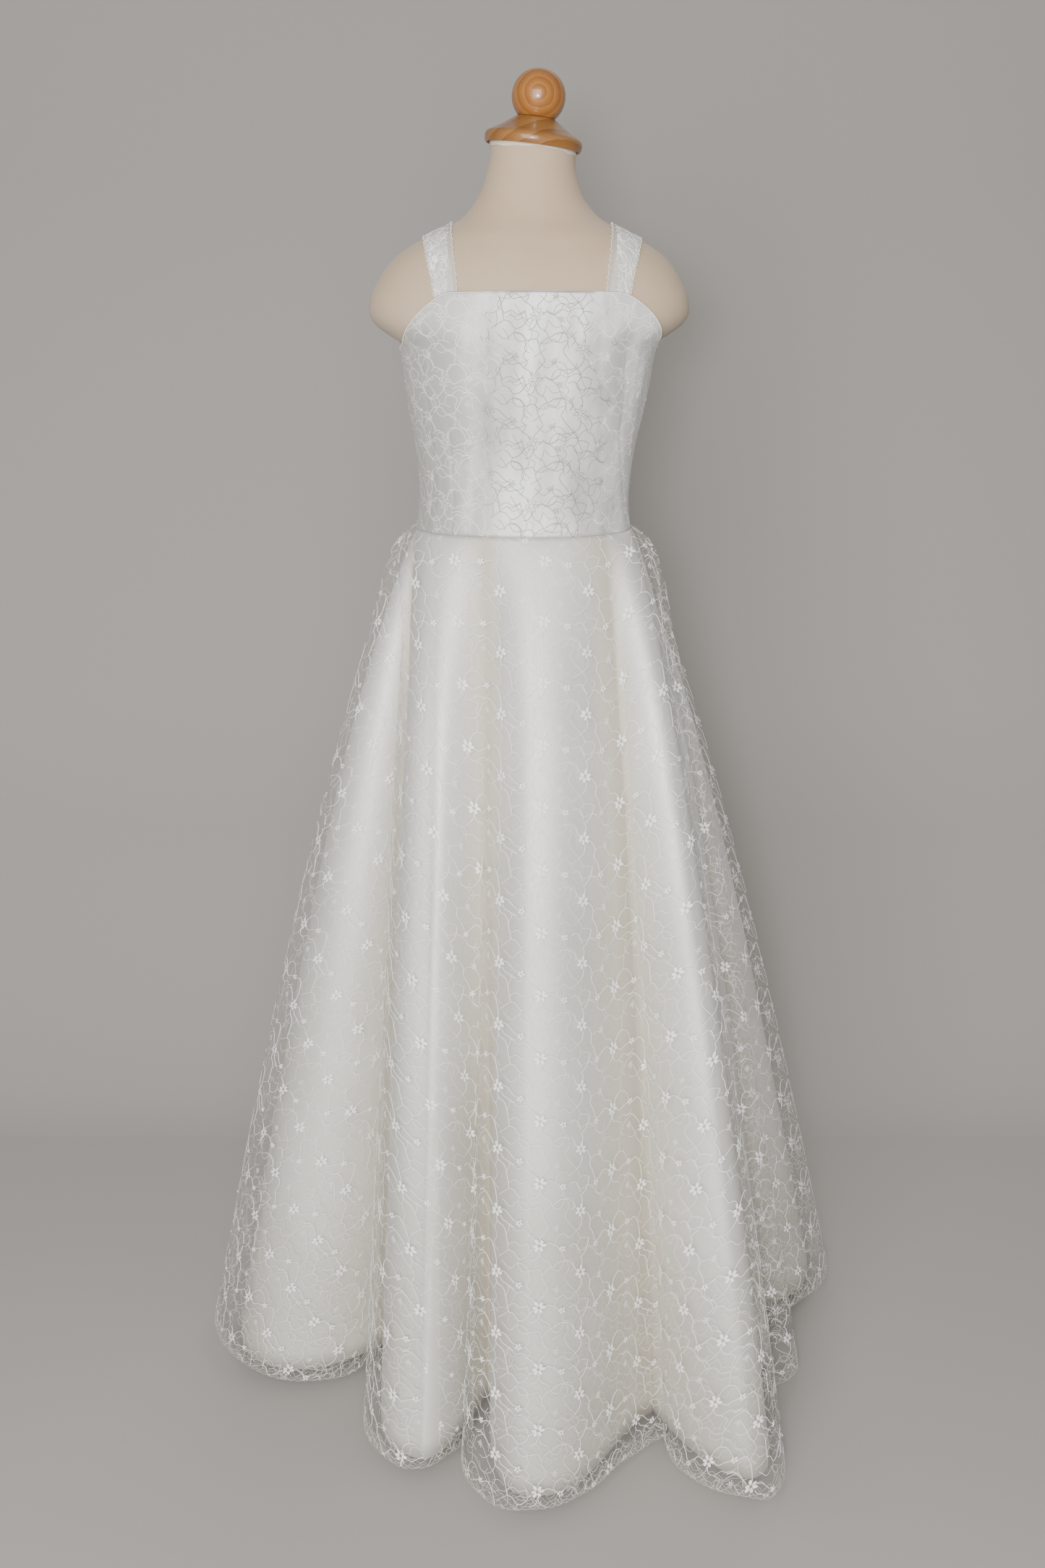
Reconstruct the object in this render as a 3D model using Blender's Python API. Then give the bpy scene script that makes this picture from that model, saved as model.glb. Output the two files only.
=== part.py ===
"""Flower girl dress on a child's limbless dress form, standing on a round base.

Metres, +Z up. The origin is on the floor under the pole, the front of the dress
faces -Y, and left and right are the viewer's, at -X and +X. Angles around the
body are measured in plan from the front, positive towards +X.
"""

from collections import namedtuple
from math import cos, exp, pi, radians, sin, tan

import bmesh
import bpy
from mathutils import Matrix, Vector
from mathutils.bvhtree import BVHTree

MM = 0.001

# Heights above the floor
BASE_THICKNESS = 0.018
TORSO_BOTTOM = 0.655
SATIN_HEM = 0.018
NET_HEM = 0.012
WAIST_SEAM = 0.8385
BACK_NECKLINE = 1.036
NECK_TOP = 1.1745

# Clearances and wall thicknesses
GAP = 0.0003
SEAM_HALF_GAP = 0.0002
BODICE_WALL = 0.0016
SATIN_WALL = 0.0012
NET_WALL = 0.0010
STRAP_WALL = 0.0014
BODICE_EASE = 0.0015
SEAM_BULK = 0.0015
SEAM_BULK_HEIGHT = 0.010
EDGE_LIFT = 0.0012
EDGE_LIFT_FROM = 0.985
EDGE_LIFT_HEIGHT = 0.020
STRAP_EASE = 0.0013

# The form: its lean, the slant of its neck and its stand
LEAN_FROM = 0.84
LEAN_START_X = -0.004
LEAN_SLOPE = 0.025
NECK_SLANT = radians(7)
SLANT_FROM = 1.113
TORSO_COLUMNS = 36
POLE_RADIUS = 0.0125
BASE_RADIUS = 0.130

Section = namedtuple("Section", "z half_width half_depth squareness")
TORSO_SECTIONS = [
    Section(0.6550, 0.0800, 0.0620, 2.0),
    Section(0.6640, 0.0960, 0.0760, 2.0),
    Section(0.7000, 0.1030, 0.0830, 2.1),
    Section(0.7500, 0.1030, 0.0830, 2.2),
    Section(0.8000, 0.0985, 0.0790, 2.2),
    Section(0.8385, 0.0960, 0.0760, 2.2),
    Section(0.8650, 0.0944, 0.0745, 2.2),
    Section(0.8900, 0.0956, 0.0755, 2.2),
    Section(0.9140, 0.0985, 0.0775, 2.2),
    Section(0.9430, 0.1043, 0.0800, 2.2),
    Section(0.9700, 0.1090, 0.0818, 2.2),
    Section(0.9900, 0.1114, 0.0822, 2.2),
    Section(1.0030, 0.1140, 0.0815, 2.2),
    Section(1.0125, 0.1275, 0.0800, 2.2),
    Section(1.0215, 0.1395, 0.0785, 2.2),
    Section(1.0320, 0.1450, 0.0770, 2.2),
    Section(1.0450, 0.1435, 0.0755, 2.2),
    Section(1.0565, 0.1385, 0.0735, 2.2),
    Section(1.0690, 0.1305, 0.0700, 2.2),
    Section(1.0800, 0.1205, 0.0655, 2.2),
    Section(1.0895, 0.1060, 0.0605, 2.2),
    Section(1.0980, 0.0900, 0.0560, 2.2),
    Section(1.1045, 0.0760, 0.0515, 2.1),
    Section(1.1110, 0.0635, 0.0475, 2.1),
    Section(1.1200, 0.0545, 0.0440, 2.0),
    Section(1.1325, 0.0460, 0.0410, 2.0),
    Section(1.1465, 0.0410, 0.0390, 2.0),
    Section(1.1600, 0.0388, 0.0378, 2.0),
    Section(1.1745, 0.0388, 0.0378, 2.0),
]

# Turned profiles, radius and height from their own undersides
Turn = namedtuple("Turn", "radius height")
CAP_PROFILE = [
    Turn(0.0385, 0.0000),
    Turn(0.0412, 0.0012),
    Turn(0.0424, 0.0038),
    Turn(0.0419, 0.0063),
    Turn(0.0400, 0.0080),
    Turn(0.0285, 0.0138),
    Turn(0.0163, 0.0210),
]
BASE_PROFILE = [
    Turn(0.1270, 0.0000),
    Turn(BASE_RADIUS, 0.0030),
    Turn(BASE_RADIUS, 0.0110),
    Turn(0.1270, 0.0155),
    Turn(0.1200, BASE_THICKNESS),
]
BALL_RADIUS = 0.0237
BALL_SEAT_RADIUS = 0.0163
TURNED_SEGMENTS = 40

# The bodice's upper edge: straight across the neck, down around the arms
Edge = namedtuple("Edge", "angle z")
EDGE_TURN = 2.5
BODICE_EDGE = [
    Edge(0.0, 1.0500),
    Edge(52.5, 1.0485),
    Edge(54.5, 1.0370),
    Edge(58.5, 1.0240),
    Edge(63.0, 1.0140),
    Edge(70.0, 1.0065),
    Edge(78.0, 1.0025),
    Edge(90.0, 1.0000),
    Edge(102.0, 1.0000),
    Edge(112.0, 1.0040),
    Edge(120.0, 1.0140),
    Edge(127.0, 1.0280),
    Edge(131.0, BACK_NECKLINE),
    Edge(180.0, BACK_NECKLINE),
]
BODICE_ROWS = [0.0, 0.16, 0.34, 0.52, 0.68, 0.80, 0.88, 0.94, 1.0]

Span = namedtuple("Span", "start end columns")
SIDE_SEAM_LEFT = -94.0
SIDE_SEAM_RIGHT = 80.0
BODICE_PANELS = {
    "bodice_front": [
        Span(SIDE_SEAM_LEFT, -50.0, 9),
        Span(-50.0, 55.0, 20),
        Span(55.0, SIDE_SEAM_RIGHT, 5),
    ],
    "bodice_back_right": [Span(SIDE_SEAM_RIGHT, 129.5, 9), Span(129.5, 180.0, 9)],
    "bodice_back_left": [
        Span(180.0, 360.0 - 124.5, 9),
        Span(360.0 - 124.5, 360.0 + SIDE_SEAM_LEFT, 6),
    ],
}

# Shoulder straps: centre and half width where they leave the front neckline,
# pass over the shoulder and reach the back neckline
Strap = namedtuple("Strap", "name front_x front_half top_x top_half back_x back_half")
STRAPS = [
    Strap("strap_left", -0.0705, 0.0102, -0.0802, 0.0125, -0.0715, 0.0110),
    Strap("strap_right", 0.0770, 0.0106, 0.0870, 0.0130, 0.0760, 0.0110),
]
STRAP_ROWS = 18
STRAP_COLUMNS = 4
STRAP_FRONT_END = 1.0503
STRAP_RAY_REACH = 0.3
STRAP_BACK_END = BACK_NECKLINE + GAP

# The two skirts. A row is one flute: the valley on its left and its crest, each
# with its angle at the waist and at the hem and its radius at the hem, how far
# each flank swells towards its valley, and the columns that carry it.
Flute = namedtuple(
    "Flute",
    "valley_waist valley_hem valley_radius crest_waist crest_hem crest_radius "
    "left_swell right_swell columns",
)
NET_FLUTES = [
    Flute(-122.0, -118.0, 0.232, -105.0, -82.0, 0.331, 5.0, 13.5, 16),
    Flute(-88.0, -56.0, 0.185, -55.0, -23.0, 0.298, 1.0, 2.4, 16),
    Flute(-25.0, -13.3, 0.226, 8.0, 0.0, 0.331, 5.8, -0.8, 16),
    Flute(50.0, 29.5, 0.262, 70.0, 34.5, 0.381, 5.0, 2.6, 16),
    Flute(86.0, 52.0, 0.262, 94.0, 64.0, 0.300, 1.0, 2.0, 8),
    Flute(104.0, 76.0, 0.247, 118.0, 106.0, 0.345, 3.0, 2.0, 16),
    Flute(131.0, 126.0, 0.262, 143.0, 139.0, 0.340, 1.5, 1.5, 12),
    Flute(155.0, 153.0, 0.250, 168.0, 167.0, 0.352, 2.0, 2.0, 12),
    Flute(180.0, 180.0, 0.246, 193.0, 195.0, 0.350, 2.0, 1.5, 12),
    Flute(206.0, 209.0, 0.252, 221.0, 225.0, 0.342, 2.0, 2.0, 12),
]
SATIN_FLUTES = [
    Flute(-122.0, -118.0, 0.208, -105.0, -72.0, 0.292, 4.0, 6.0, 12),
    Flute(-88.0, -57.5, 0.160, -55.0, -20.5, 0.284, -2.3, 0.5, 14),
    Flute(-24.0, -11.5, 0.185, 9.0, 0.5, 0.317, 2.0, -2.2, 14),
    Flute(50.0, 30.6, 0.236, 69.0, 35.0, 0.350, 2.2, 1.2, 12),
    Flute(86.0, 50.5, 0.240, 94.0, 63.0, 0.272, 1.0, 2.0, 8),
    Flute(104.0, 76.0, 0.226, 118.0, 103.0, 0.316, 2.0, 2.0, 12),
    Flute(131.0, 126.0, 0.238, 143.0, 139.0, 0.314, 1.0, 1.0, 8),
    Flute(155.0, 153.0, 0.228, 168.0, 167.0, 0.326, 1.0, 1.0, 8),
    Flute(180.0, 180.0, 0.224, 193.0, 195.0, 0.324, 1.0, 1.0, 8),
    Flute(206.0, 209.0, 0.230, 221.0, 225.0, 0.316, 1.0, 1.0, 8),
]
SKIRT_PANELS = {"back_left": (8, 11), "front": (1, 4), "back_right": (4, 8)}
NET_ROWS = [0.0, 0.008, 0.03, 0.08, 0.18, 0.34, 0.56, 0.78, 1.0]
SATIN_ROWS = [0.0, 0.03, 0.09, 0.20, 0.38, 0.60, 0.80, 1.0]
SATIN_WAIST_OFFSET = 0.0030
NET_WAIST_OFFSET = SATIN_WAIST_OFFSET + 0.0016
FLARE_FRONT = 0.80
FLARE_SIDE = 0.72

# The net's gathers at the sides and back of the waist
GATHER_DEPTH = 0.0035
GATHER_FADE = 0.14
GATHER_COLUMNS = 4
GATHER_FROM = 52.0
GATHER_SPREAD = 20.0
PUFF_DEPTH = 0.011
PUFF_PEAK = 0.035

# The zip's slider at the top of the centre back seam, and its pull tab
SLIDER_Z = 1.0220
SLIDER_HALF = Vector((0.0028, 0.0013, 0.0045))
SLIDER_ROUNDING = 0.0010
ARCH_HALF_WIDTH = 0.0008
ARCH_RISE = 0.0027
ARCH_HOLE_RISE = 0.0019
ARCH_HALF_LENGTH = 0.0021
ARCH_HOLE_HALF = 0.0013
ARCH_CHAMFER = 0.0006
ARCH_ROOT = 0.0004
TAB_BAR_RADIUS = 0.0005
TAB_LIFT = 0.00095
TAB_HALF_WIDTH = 0.0023
TAB_WINDOW_HALF = 0.0013
TAB_WINDOW_LENGTH = 0.0034
TAB_LENGTH = 0.0180
TAB_HALF_THICKNESS = 0.0005
TAB_ROUNDING_STEPS = 8

Finish = namedtuple("Finish", "colour roughness metallic")
FINISHES = {
    "jersey": Finish((0.66, 0.58, 0.47), 0.90, 0.0),
    "honey_wood": Finish((0.50, 0.26, 0.10), 0.25, 0.0),
    "painted_steel": Finish((0.62, 0.60, 0.57), 0.40, 0.6),
    "ivory_satin": Finish((0.80, 0.78, 0.72), 0.35, 0.0),
    "embroidered_net": Finish((0.83, 0.82, 0.78), 0.70, 0.0),
    "zip_metal": Finish((0.75, 0.75, 0.74), 0.25, 1.0),
}


def clear_scene():
    """Remove every object that the file started with."""
    for old in list(bpy.data.objects):
        bpy.data.objects.remove(old, do_unlink=True)


def finish_material(name):
    """Return the named finish as a material."""
    found = bpy.data.materials.get(name)
    if found:
        return found
    finish = FINISHES[name]
    made = bpy.data.materials.new(name)
    made.use_nodes = True
    shader = made.node_tree.nodes["Principled BSDF"]
    shader.inputs["Base Color"].default_value = (*finish.colour, 1.0)
    shader.inputs["Roughness"].default_value = finish.roughness
    shader.inputs["Metallic"].default_value = finish.metallic
    return made


def add_object(name, shape, finish, sharp_angle=40.0):
    """Make a smooth shaded object from a bmesh, each quad cut on its short diagonal."""
    quads = [face for face in shape.faces if len(face.verts) == 4]
    bmesh.ops.triangulate(shape, faces=quads, quad_method="SHORT_EDGE")
    bmesh.ops.recalc_face_normals(shape, faces=shape.faces)
    mesh = bpy.data.meshes.new(name)
    shape.to_mesh(mesh)
    shape.free()
    mesh.shade_smooth()
    mesh.set_sharp_from_angle(angle=radians(sharp_angle))
    mesh.materials.append(finish_material(finish))
    made = bpy.data.objects.new(name, mesh)
    bpy.context.scene.collection.objects.link(made)
    return made


def blend(low, high, share):
    """Return the value that lies the given share of the way from low to high."""
    return low + (high - low) * share


def read_table(table, key, value, at):
    """Read a value from a table's rows by straight interpolation on its key."""
    if at <= getattr(table[0], key):
        return getattr(table[0], value)
    for low, high in zip(table, table[1:]):
        if at <= getattr(high, key):
            share = (at - getattr(low, key)) / (getattr(high, key) - getattr(low, key))
            return blend(getattr(low, value), getattr(high, value), share)
    return getattr(table[-1], value)


def lean_x(z):
    """Return the form's centre line at a height."""
    return LEAN_START_X + LEAN_SLOPE * max(0.0, z - LEAN_FROM)


def section_radius(z, angle):
    """Return the form's radius at a height, in the plan direction of an angle."""
    half_width = read_table(TORSO_SECTIONS, "z", "half_width", z)
    half_depth = read_table(TORSO_SECTIONS, "z", "half_depth", z)
    power = read_table(TORSO_SECTIONS, "z", "squareness", z)
    across = (abs(sin(radians(angle))) / half_width) ** power
    along = (abs(cos(radians(angle))) / half_depth) ** power
    return (across + along) ** (-1.0 / power)


def body_point(z, angle, offset):
    """Return the point that lies an offset outside the form."""
    radius = section_radius(z, angle) + offset
    turn = radians(angle)
    return Vector((lean_x(z) + radius * sin(turn), -radius * cos(turn), z))


def loft_rings(rings):
    """Skin closed rings of equal length and close both ends."""
    shape = bmesh.new()
    laid = [[shape.verts.new(point) for point in ring] for ring in rings]
    for low, high in zip(laid, laid[1:]):
        for here, there in zip(range(len(low)), [*range(1, len(low)), 0]):
            shape.faces.new((low[here], low[there], high[there], high[here]))
    shape.faces.new(laid[0])
    shape.faces.new(laid[-1])
    return shape


def make_torso():
    """Model the jersey torso with its rounded shoulder caps and slanted neck."""
    rings = []
    for row in TORSO_SECTIONS:
        slant = tan(NECK_SLANT) * max(0.0, (row.z - SLANT_FROM) / (NECK_TOP - SLANT_FROM))
        ring = []
        for column in range(TORSO_COLUMNS):
            point = body_point(row.z, 360.0 * column / TORSO_COLUMNS, 0.0)
            point.z -= (point.x - lean_x(row.z)) * slant
            ring.append(point)
        rings.append(ring)
    return add_object("form_torso", loft_rings(rings), "jersey", 60.0)


def turned_rings(profile):
    """Return a profile's rings around the Z axis."""
    rings = []
    for row in profile:
        turns = [2.0 * pi * step / TURNED_SEGMENTS for step in range(TURNED_SEGMENTS)]
        rings.append([(row.radius * cos(t), row.radius * sin(t), row.height) for t in turns])
    return rings


def neck_frame(height):
    """Return the placement of a piece above the slanted neck top."""
    seat = Matrix.Translation((lean_x(NECK_TOP), 0.0, NECK_TOP))
    return seat @ Matrix.Rotation(NECK_SLANT, 4, "Y") @ Matrix.Translation((0.0, 0.0, height))


def make_neck_cap():
    """Turn the wooden cap with its cone and rounded rim."""
    cap = add_object("neck_cap", loft_rings(turned_rings(CAP_PROFILE)), "honey_wood")
    cap.matrix_world = neck_frame(GAP)


def make_finial():
    """Model the wooden ball, flat where it stands on the cap."""
    shape = bmesh.new()
    bmesh.ops.create_uvsphere(shape, u_segments=28, v_segments=16, radius=BALL_RADIUS)
    seat_depth = (BALL_RADIUS**2 - BALL_SEAT_RADIUS**2) ** 0.5
    cut = bmesh.ops.bisect_plane(
        shape,
        geom=[*shape.verts, *shape.edges, *shape.faces],
        plane_co=(0.0, 0.0, -seat_depth),
        plane_no=(0.0, 0.0, -1.0),
        clear_outer=True,
    )
    rim = [item for item in cut["geom_cut"] if isinstance(item, bmesh.types.BMEdge)]
    bmesh.ops.contextual_create(shape, geom=rim)
    ball = add_object("finial_ball", shape, "honey_wood")
    ball.matrix_world = neck_frame(CAP_PROFILE[-1].height + 2.0 * GAP + seat_depth)


def make_stand():
    """Model the round base and the pole that carries the torso."""
    add_object("stand_base", loft_rings(turned_rings(BASE_PROFILE)), "honey_wood")
    length = TORSO_BOTTOM - BASE_THICKNESS - 2.0 * GAP
    shape = bmesh.new()
    bmesh.ops.create_cone(
        shape,
        cap_ends=True,
        segments=20,
        radius1=POLE_RADIUS,
        radius2=POLE_RADIUS,
        depth=length,
    )
    pole = add_object("stand_pole", shape, "painted_steel")
    pole.location = (0.0, 0.0, BASE_THICKNESS + GAP + length / 2.0)


def grid_normals(grid, closed):
    """Return a grid's unit normals, level along its first and last rows.

    The rows run from the hem up and the columns towards +X at the front.
    """
    last_row = len(grid) - 1
    last = len(grid[0]) - 1
    normals = []
    for row in range(len(grid)):
        line = []
        for column in range(len(grid[0])):
            if closed:
                before, after = (column - 1) % (last + 1), (column + 1) % (last + 1)
            else:
                before, after = max(column - 1, 0), min(column + 1, last)
            around = grid[row][after] - grid[row][before]
            up = grid[min(row + 1, last_row)][column] - grid[max(row - 1, 0)][column]
            normal = around.cross(up)
            if row in (0, last_row):
                normal.z = 0.0
            line.append(normal.normalized())
        normals.append(line)
    return normals


def trim_seams(grid):
    """Draw an open grid's first and last columns in by half the seam gap."""
    for row in grid:
        for edge, inside in ((0, 1), (-1, -2)):
            step = row[inside] - row[edge]
            row[edge] = row[edge] + step * (SEAM_HALF_GAP / step.length)


def wall_shape(outer, inner):
    """Close two open grids into one wall."""
    shape = bmesh.new()
    rows, columns = len(outer), len(outer[0])
    sides = []
    for grid in (outer, inner):
        trim_seams(grid)
        sides.append([[shape.verts.new(point) for point in line] for line in grid])
    for side in sides:
        for r in range(rows - 1):
            for c in range(columns - 1):
                shape.faces.new((side[r][c], side[r][c + 1], side[r + 1][c + 1], side[r + 1][c]))
    front, back = sides
    for c in range(columns - 1):
        for r in (0, rows - 1):
            shape.faces.new((front[r][c], front[r][c + 1], back[r][c + 1], back[r][c]))
    for r in range(rows - 1):
        for c in (0, columns - 1):
            shape.faces.new((front[r][c], front[r + 1][c], back[r + 1][c], back[r][c]))
    return shape


def offset_grid(grid, normals, distance):
    """Return a copy of a grid moved along its normals."""
    return [
        [point + normal * distance for point, normal in zip(points, line)]
        for points, line in zip(grid, normals)
    ]


def make_wall(name, grid, normals, thickness, finish):
    """Make one cloth panel, half its thickness on each side of its grid."""
    outer = offset_grid(grid, normals, thickness / 2.0)
    inner = offset_grid(grid, normals, -thickness / 2.0)
    return add_object(name, wall_shape(outer, inner), finish, 50.0)


def spread_angles(spans):
    """Return the angles of a panel's columns, span by span."""
    angles = [spans[0].start]
    for span in spans:
        for step in range(1, span.columns + 1):
            angles.append(blend(span.start, span.end, step / span.columns))
    return angles


def bodice_edge(angle):
    """Return the height of the bodice's upper edge at an angle."""
    around = abs((angle - EDGE_TURN + 180.0) % 360.0 - 180.0)
    return read_table(BODICE_EDGE, "angle", "z", around)


def bodice_offset(z):
    """Return how far the bodice's middle lies outside the form at a height."""
    bulk = SEAM_BULK * exp(-(z - WAIST_SEAM) / SEAM_BULK_HEIGHT)
    lift = EDGE_LIFT * min(1.0, max(0.0, (z - EDGE_LIFT_FROM) / EDGE_LIFT_HEIGHT))
    return BODICE_EASE + BODICE_WALL / 2.0 + bulk + lift


def make_bodice():
    """Model the fitted front and the two back pieces."""
    for name, spans in BODICE_PANELS.items():
        angles = spread_angles(spans)
        grid = []
        for share in BODICE_ROWS:
            line = []
            for angle in angles:
                z = blend(WAIST_SEAM, bodice_edge(angle), share)
                line.append(body_point(z, angle, bodice_offset(z)))
            grid.append(line)
        make_wall(name, grid, grid_normals(grid, False), BODICE_WALL, "embroidered_net")


def strap_line(strap, share):
    """Return a strap's centre and half width a share of the way over the shoulder."""
    if share < 0.5:
        along = sin(pi * share)
        return (
            blend(strap.front_x, strap.top_x, along),
            blend(strap.front_half, strap.top_half, along),
        )
    along = sin(pi * (1.0 - share))
    return (
        blend(strap.back_x, strap.top_x, along),
        blend(strap.back_half, strap.top_half, along),
    )


def make_straps(torso):
    """Lay the two straps over the form's shoulders."""
    tree = BVHTree.FromPolygons(
        [vertex.co for vertex in torso.data.vertices],
        [face.vertices for face in torso.data.polygons],
    )
    for strap in STRAPS:
        grid = []
        for row in range(STRAP_ROWS + 1):
            share = row / STRAP_ROWS
            centre, half = strap_line(strap, share)
            turn = pi * share
            out = Vector((0.0, -cos(turn), sin(turn)))
            axis_z = blend(STRAP_FRONT_END, STRAP_BACK_END, share)
            line = []
            for column in range(STRAP_COLUMNS + 1):
                x = centre + half * blend(-1.0, 1.0, column / STRAP_COLUMNS)
                start = Vector((x, 0.0, axis_z)) + out * STRAP_RAY_REACH
                hit = tree.ray_cast(start, -out)[0]
                line.append(hit)
            grid.append(line)
        normals = grid_normals(grid, False)
        middle = offset_grid(grid, normals, STRAP_EASE + STRAP_WALL / 2.0)
        make_wall(strap.name, middle, normals, STRAP_WALL, "embroidered_net")


def flute_columns(flutes):
    """Yield each column's waist angle, hem angle, hem radius and flute number."""
    closing = flutes[0]._replace(
        valley_waist=flutes[0].valley_waist + 360.0,
        valley_hem=flutes[0].valley_hem + 360.0,
    )
    for number, (flute, after) in enumerate(zip(flutes, [*flutes[1:], closing])):
        for step in range(flute.columns):
            along = 2.0 * step / flute.columns - 1.0
            away = abs(along)
            valley, swell = (flute, flute.left_swell) if along < 0.0 else (after, flute.right_swell)
            side = -1.0 if along < 0.0 else 1.0
            reach = abs(valley.valley_hem - flute.crest_hem)
            bow = swell * sin(pi * away) ** 1.5
            hem_angle = flute.crest_hem + side * (reach * away + bow)
            waist_angle = blend(flute.crest_waist, valley.valley_waist, away)
            rise = (1.0 + cos(pi * away)) / 2.0
            radius = blend(valley.valley_radius, flute.crest_radius, rise)
            yield waist_angle, hem_angle, radius, number


def side_share(angle):
    """Return how far an angle lies to the side, from 0 in front to 1."""
    return abs(sin(radians(angle))) ** 3


def gather_share(angle):
    """Return the strength of the gathers: none in front, full at sides and back."""
    around = abs((angle + 180.0) % 360.0 - 180.0)
    return min(1.0, max(0.0, (around - GATHER_FROM) / GATHER_SPREAD))


def skirt_grid(flutes, rows, waist_offset, hem_z, gathered):
    """Return a whole skirt's grid, rows from the hem up, and its flute numbers."""
    columns = list(flute_columns(flutes))
    grid = []
    for depth in reversed(rows):
        line = []
        for index, (waist_angle, hem_angle, radius, _) in enumerate(columns):
            waist = body_point(WAIST_SEAM - GAP, waist_angle, waist_offset)
            turn = radians(hem_angle)
            hem = Vector((radius * sin(turn), -radius * cos(turn), hem_z))
            power = blend(FLARE_FRONT, FLARE_SIDE, sin(radians(waist_angle)) ** 2)
            point = waist.lerp(hem, depth**power)
            point.z = blend(waist.z, hem.z, depth)
            if gathered:
                out = Vector((sin(radians(waist_angle)), -cos(radians(waist_angle)), 0.0))
                fade = max(0.0, 1.0 - depth / GATHER_FADE) ** 2
                wave = (1.0 - cos(2.0 * pi * index / GATHER_COLUMNS)) / 2.0
                point += out * (GATHER_DEPTH * fade * wave * gather_share(waist_angle))
                rise = depth / PUFF_PEAK * exp(1.0 - depth / PUFF_PEAK)
                point += out * (PUFF_DEPTH * rise * side_share(waist_angle))
            line.append(point)
        grid.append(line)
    return grid, [number for *_, number in columns]


def make_skirt(prefix, flutes, rows, waist_offset, hem_z, thickness, finish, gathered):
    """Model a skirt's front and two back panels."""
    grid, numbers = skirt_grid(flutes, rows, waist_offset, hem_z, gathered)
    normals = grid_normals(grid, True)
    count = len(numbers)
    for suffix, (first, stop) in SKIRT_PANELS.items():
        start = numbers.index(first)
        width = sum(numbers.count(flute % len(flutes)) for flute in range(first, stop))
        picked = [(start + step) % count for step in range(width + 1)]
        panel = [[line[column] for column in picked] for line in grid]
        facing = [[line[column] for column in picked] for line in normals]
        make_wall(prefix + suffix, panel, facing, thickness, finish)


def box_shape(low, high):
    """Return a box between two corners."""
    shape = bmesh.new()
    made = bmesh.ops.create_cube(shape, size=1.0)
    size = Vector(high) - Vector(low)
    middle = (Vector(high) + Vector(low)) / 2.0
    bmesh.ops.scale(shape, vec=size, verts=made["verts"])
    bmesh.ops.translate(shape, vec=middle, verts=made["verts"])
    return shape


def slider_face_y():
    """Return the plane on which the slider lies, clear of the bodice's back."""
    foot = SLIDER_Z - SLIDER_HALF.z
    outer = body_point(foot, 180.0, bodice_offset(foot) + BODICE_WALL / 2.0)
    return outer.y + GAP


def extruded_outline(outline, x_low, x_high):
    """Return a solid from an outline in the YZ plane, drawn out along X."""
    shape = bmesh.new()
    near = [shape.verts.new((x_low, y, z)) for y, z in outline]
    far = [shape.verts.new((x_high, y, z)) for y, z in outline]
    shape.faces.new(near)
    shape.faces.new(far)
    for here, there in zip(range(len(outline)), [*range(1, len(outline)), 0]):
        shape.faces.new((near[here], near[there], far[there], far[here]))
    return shape


def make_slider(centre_x):
    """Model the zip's slider: a block with an arch that holds the pull tab."""
    back = slider_face_y()
    face = back + 2.0 * SLIDER_HALF.y
    half = SLIDER_HALF
    block = box_shape(
        (centre_x - half.x, back, SLIDER_Z - half.z),
        (centre_x + half.x, face, SLIDER_Z + half.z),
    )
    bmesh.ops.bevel(
        block,
        geom=[edge for edge in block.edges if abs(edge.verts[0].co.y - edge.verts[1].co.y) > MM],
        offset=SLIDER_ROUNDING,
        segments=3,
        affect="EDGES",
    )
    slider = add_object("zip_slider", block, "zip_metal")
    root = face - ARCH_ROOT
    outline = [
        (root, SLIDER_Z - ARCH_HALF_LENGTH),
        (face + ARCH_RISE - ARCH_CHAMFER, SLIDER_Z - ARCH_HALF_LENGTH),
        (face + ARCH_RISE, SLIDER_Z - ARCH_HALF_LENGTH + ARCH_CHAMFER),
        (face + ARCH_RISE, SLIDER_Z + ARCH_HALF_LENGTH - ARCH_CHAMFER),
        (face + ARCH_RISE - ARCH_CHAMFER, SLIDER_Z + ARCH_HALF_LENGTH),
        (root, SLIDER_Z + ARCH_HALF_LENGTH),
        (root, SLIDER_Z + ARCH_HOLE_HALF),
        (face + ARCH_HOLE_RISE, SLIDER_Z + ARCH_HOLE_HALF),
        (face + ARCH_HOLE_RISE, SLIDER_Z - ARCH_HOLE_HALF),
        (root, SLIDER_Z - ARCH_HOLE_HALF),
    ]
    arch_shape = extruded_outline(outline, centre_x - ARCH_HALF_WIDTH, centre_x + ARCH_HALF_WIDTH)
    arch = add_object("zip_slider_arch", arch_shape, "zip_metal")
    arch.hide_render = True
    arch.display_type = "WIRE"
    union = slider.modifiers.new("arch", "BOOLEAN")
    union.operation = "UNION"
    union.object = arch
    return Vector((centre_x, face + TAB_LIFT, SLIDER_Z))


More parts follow.
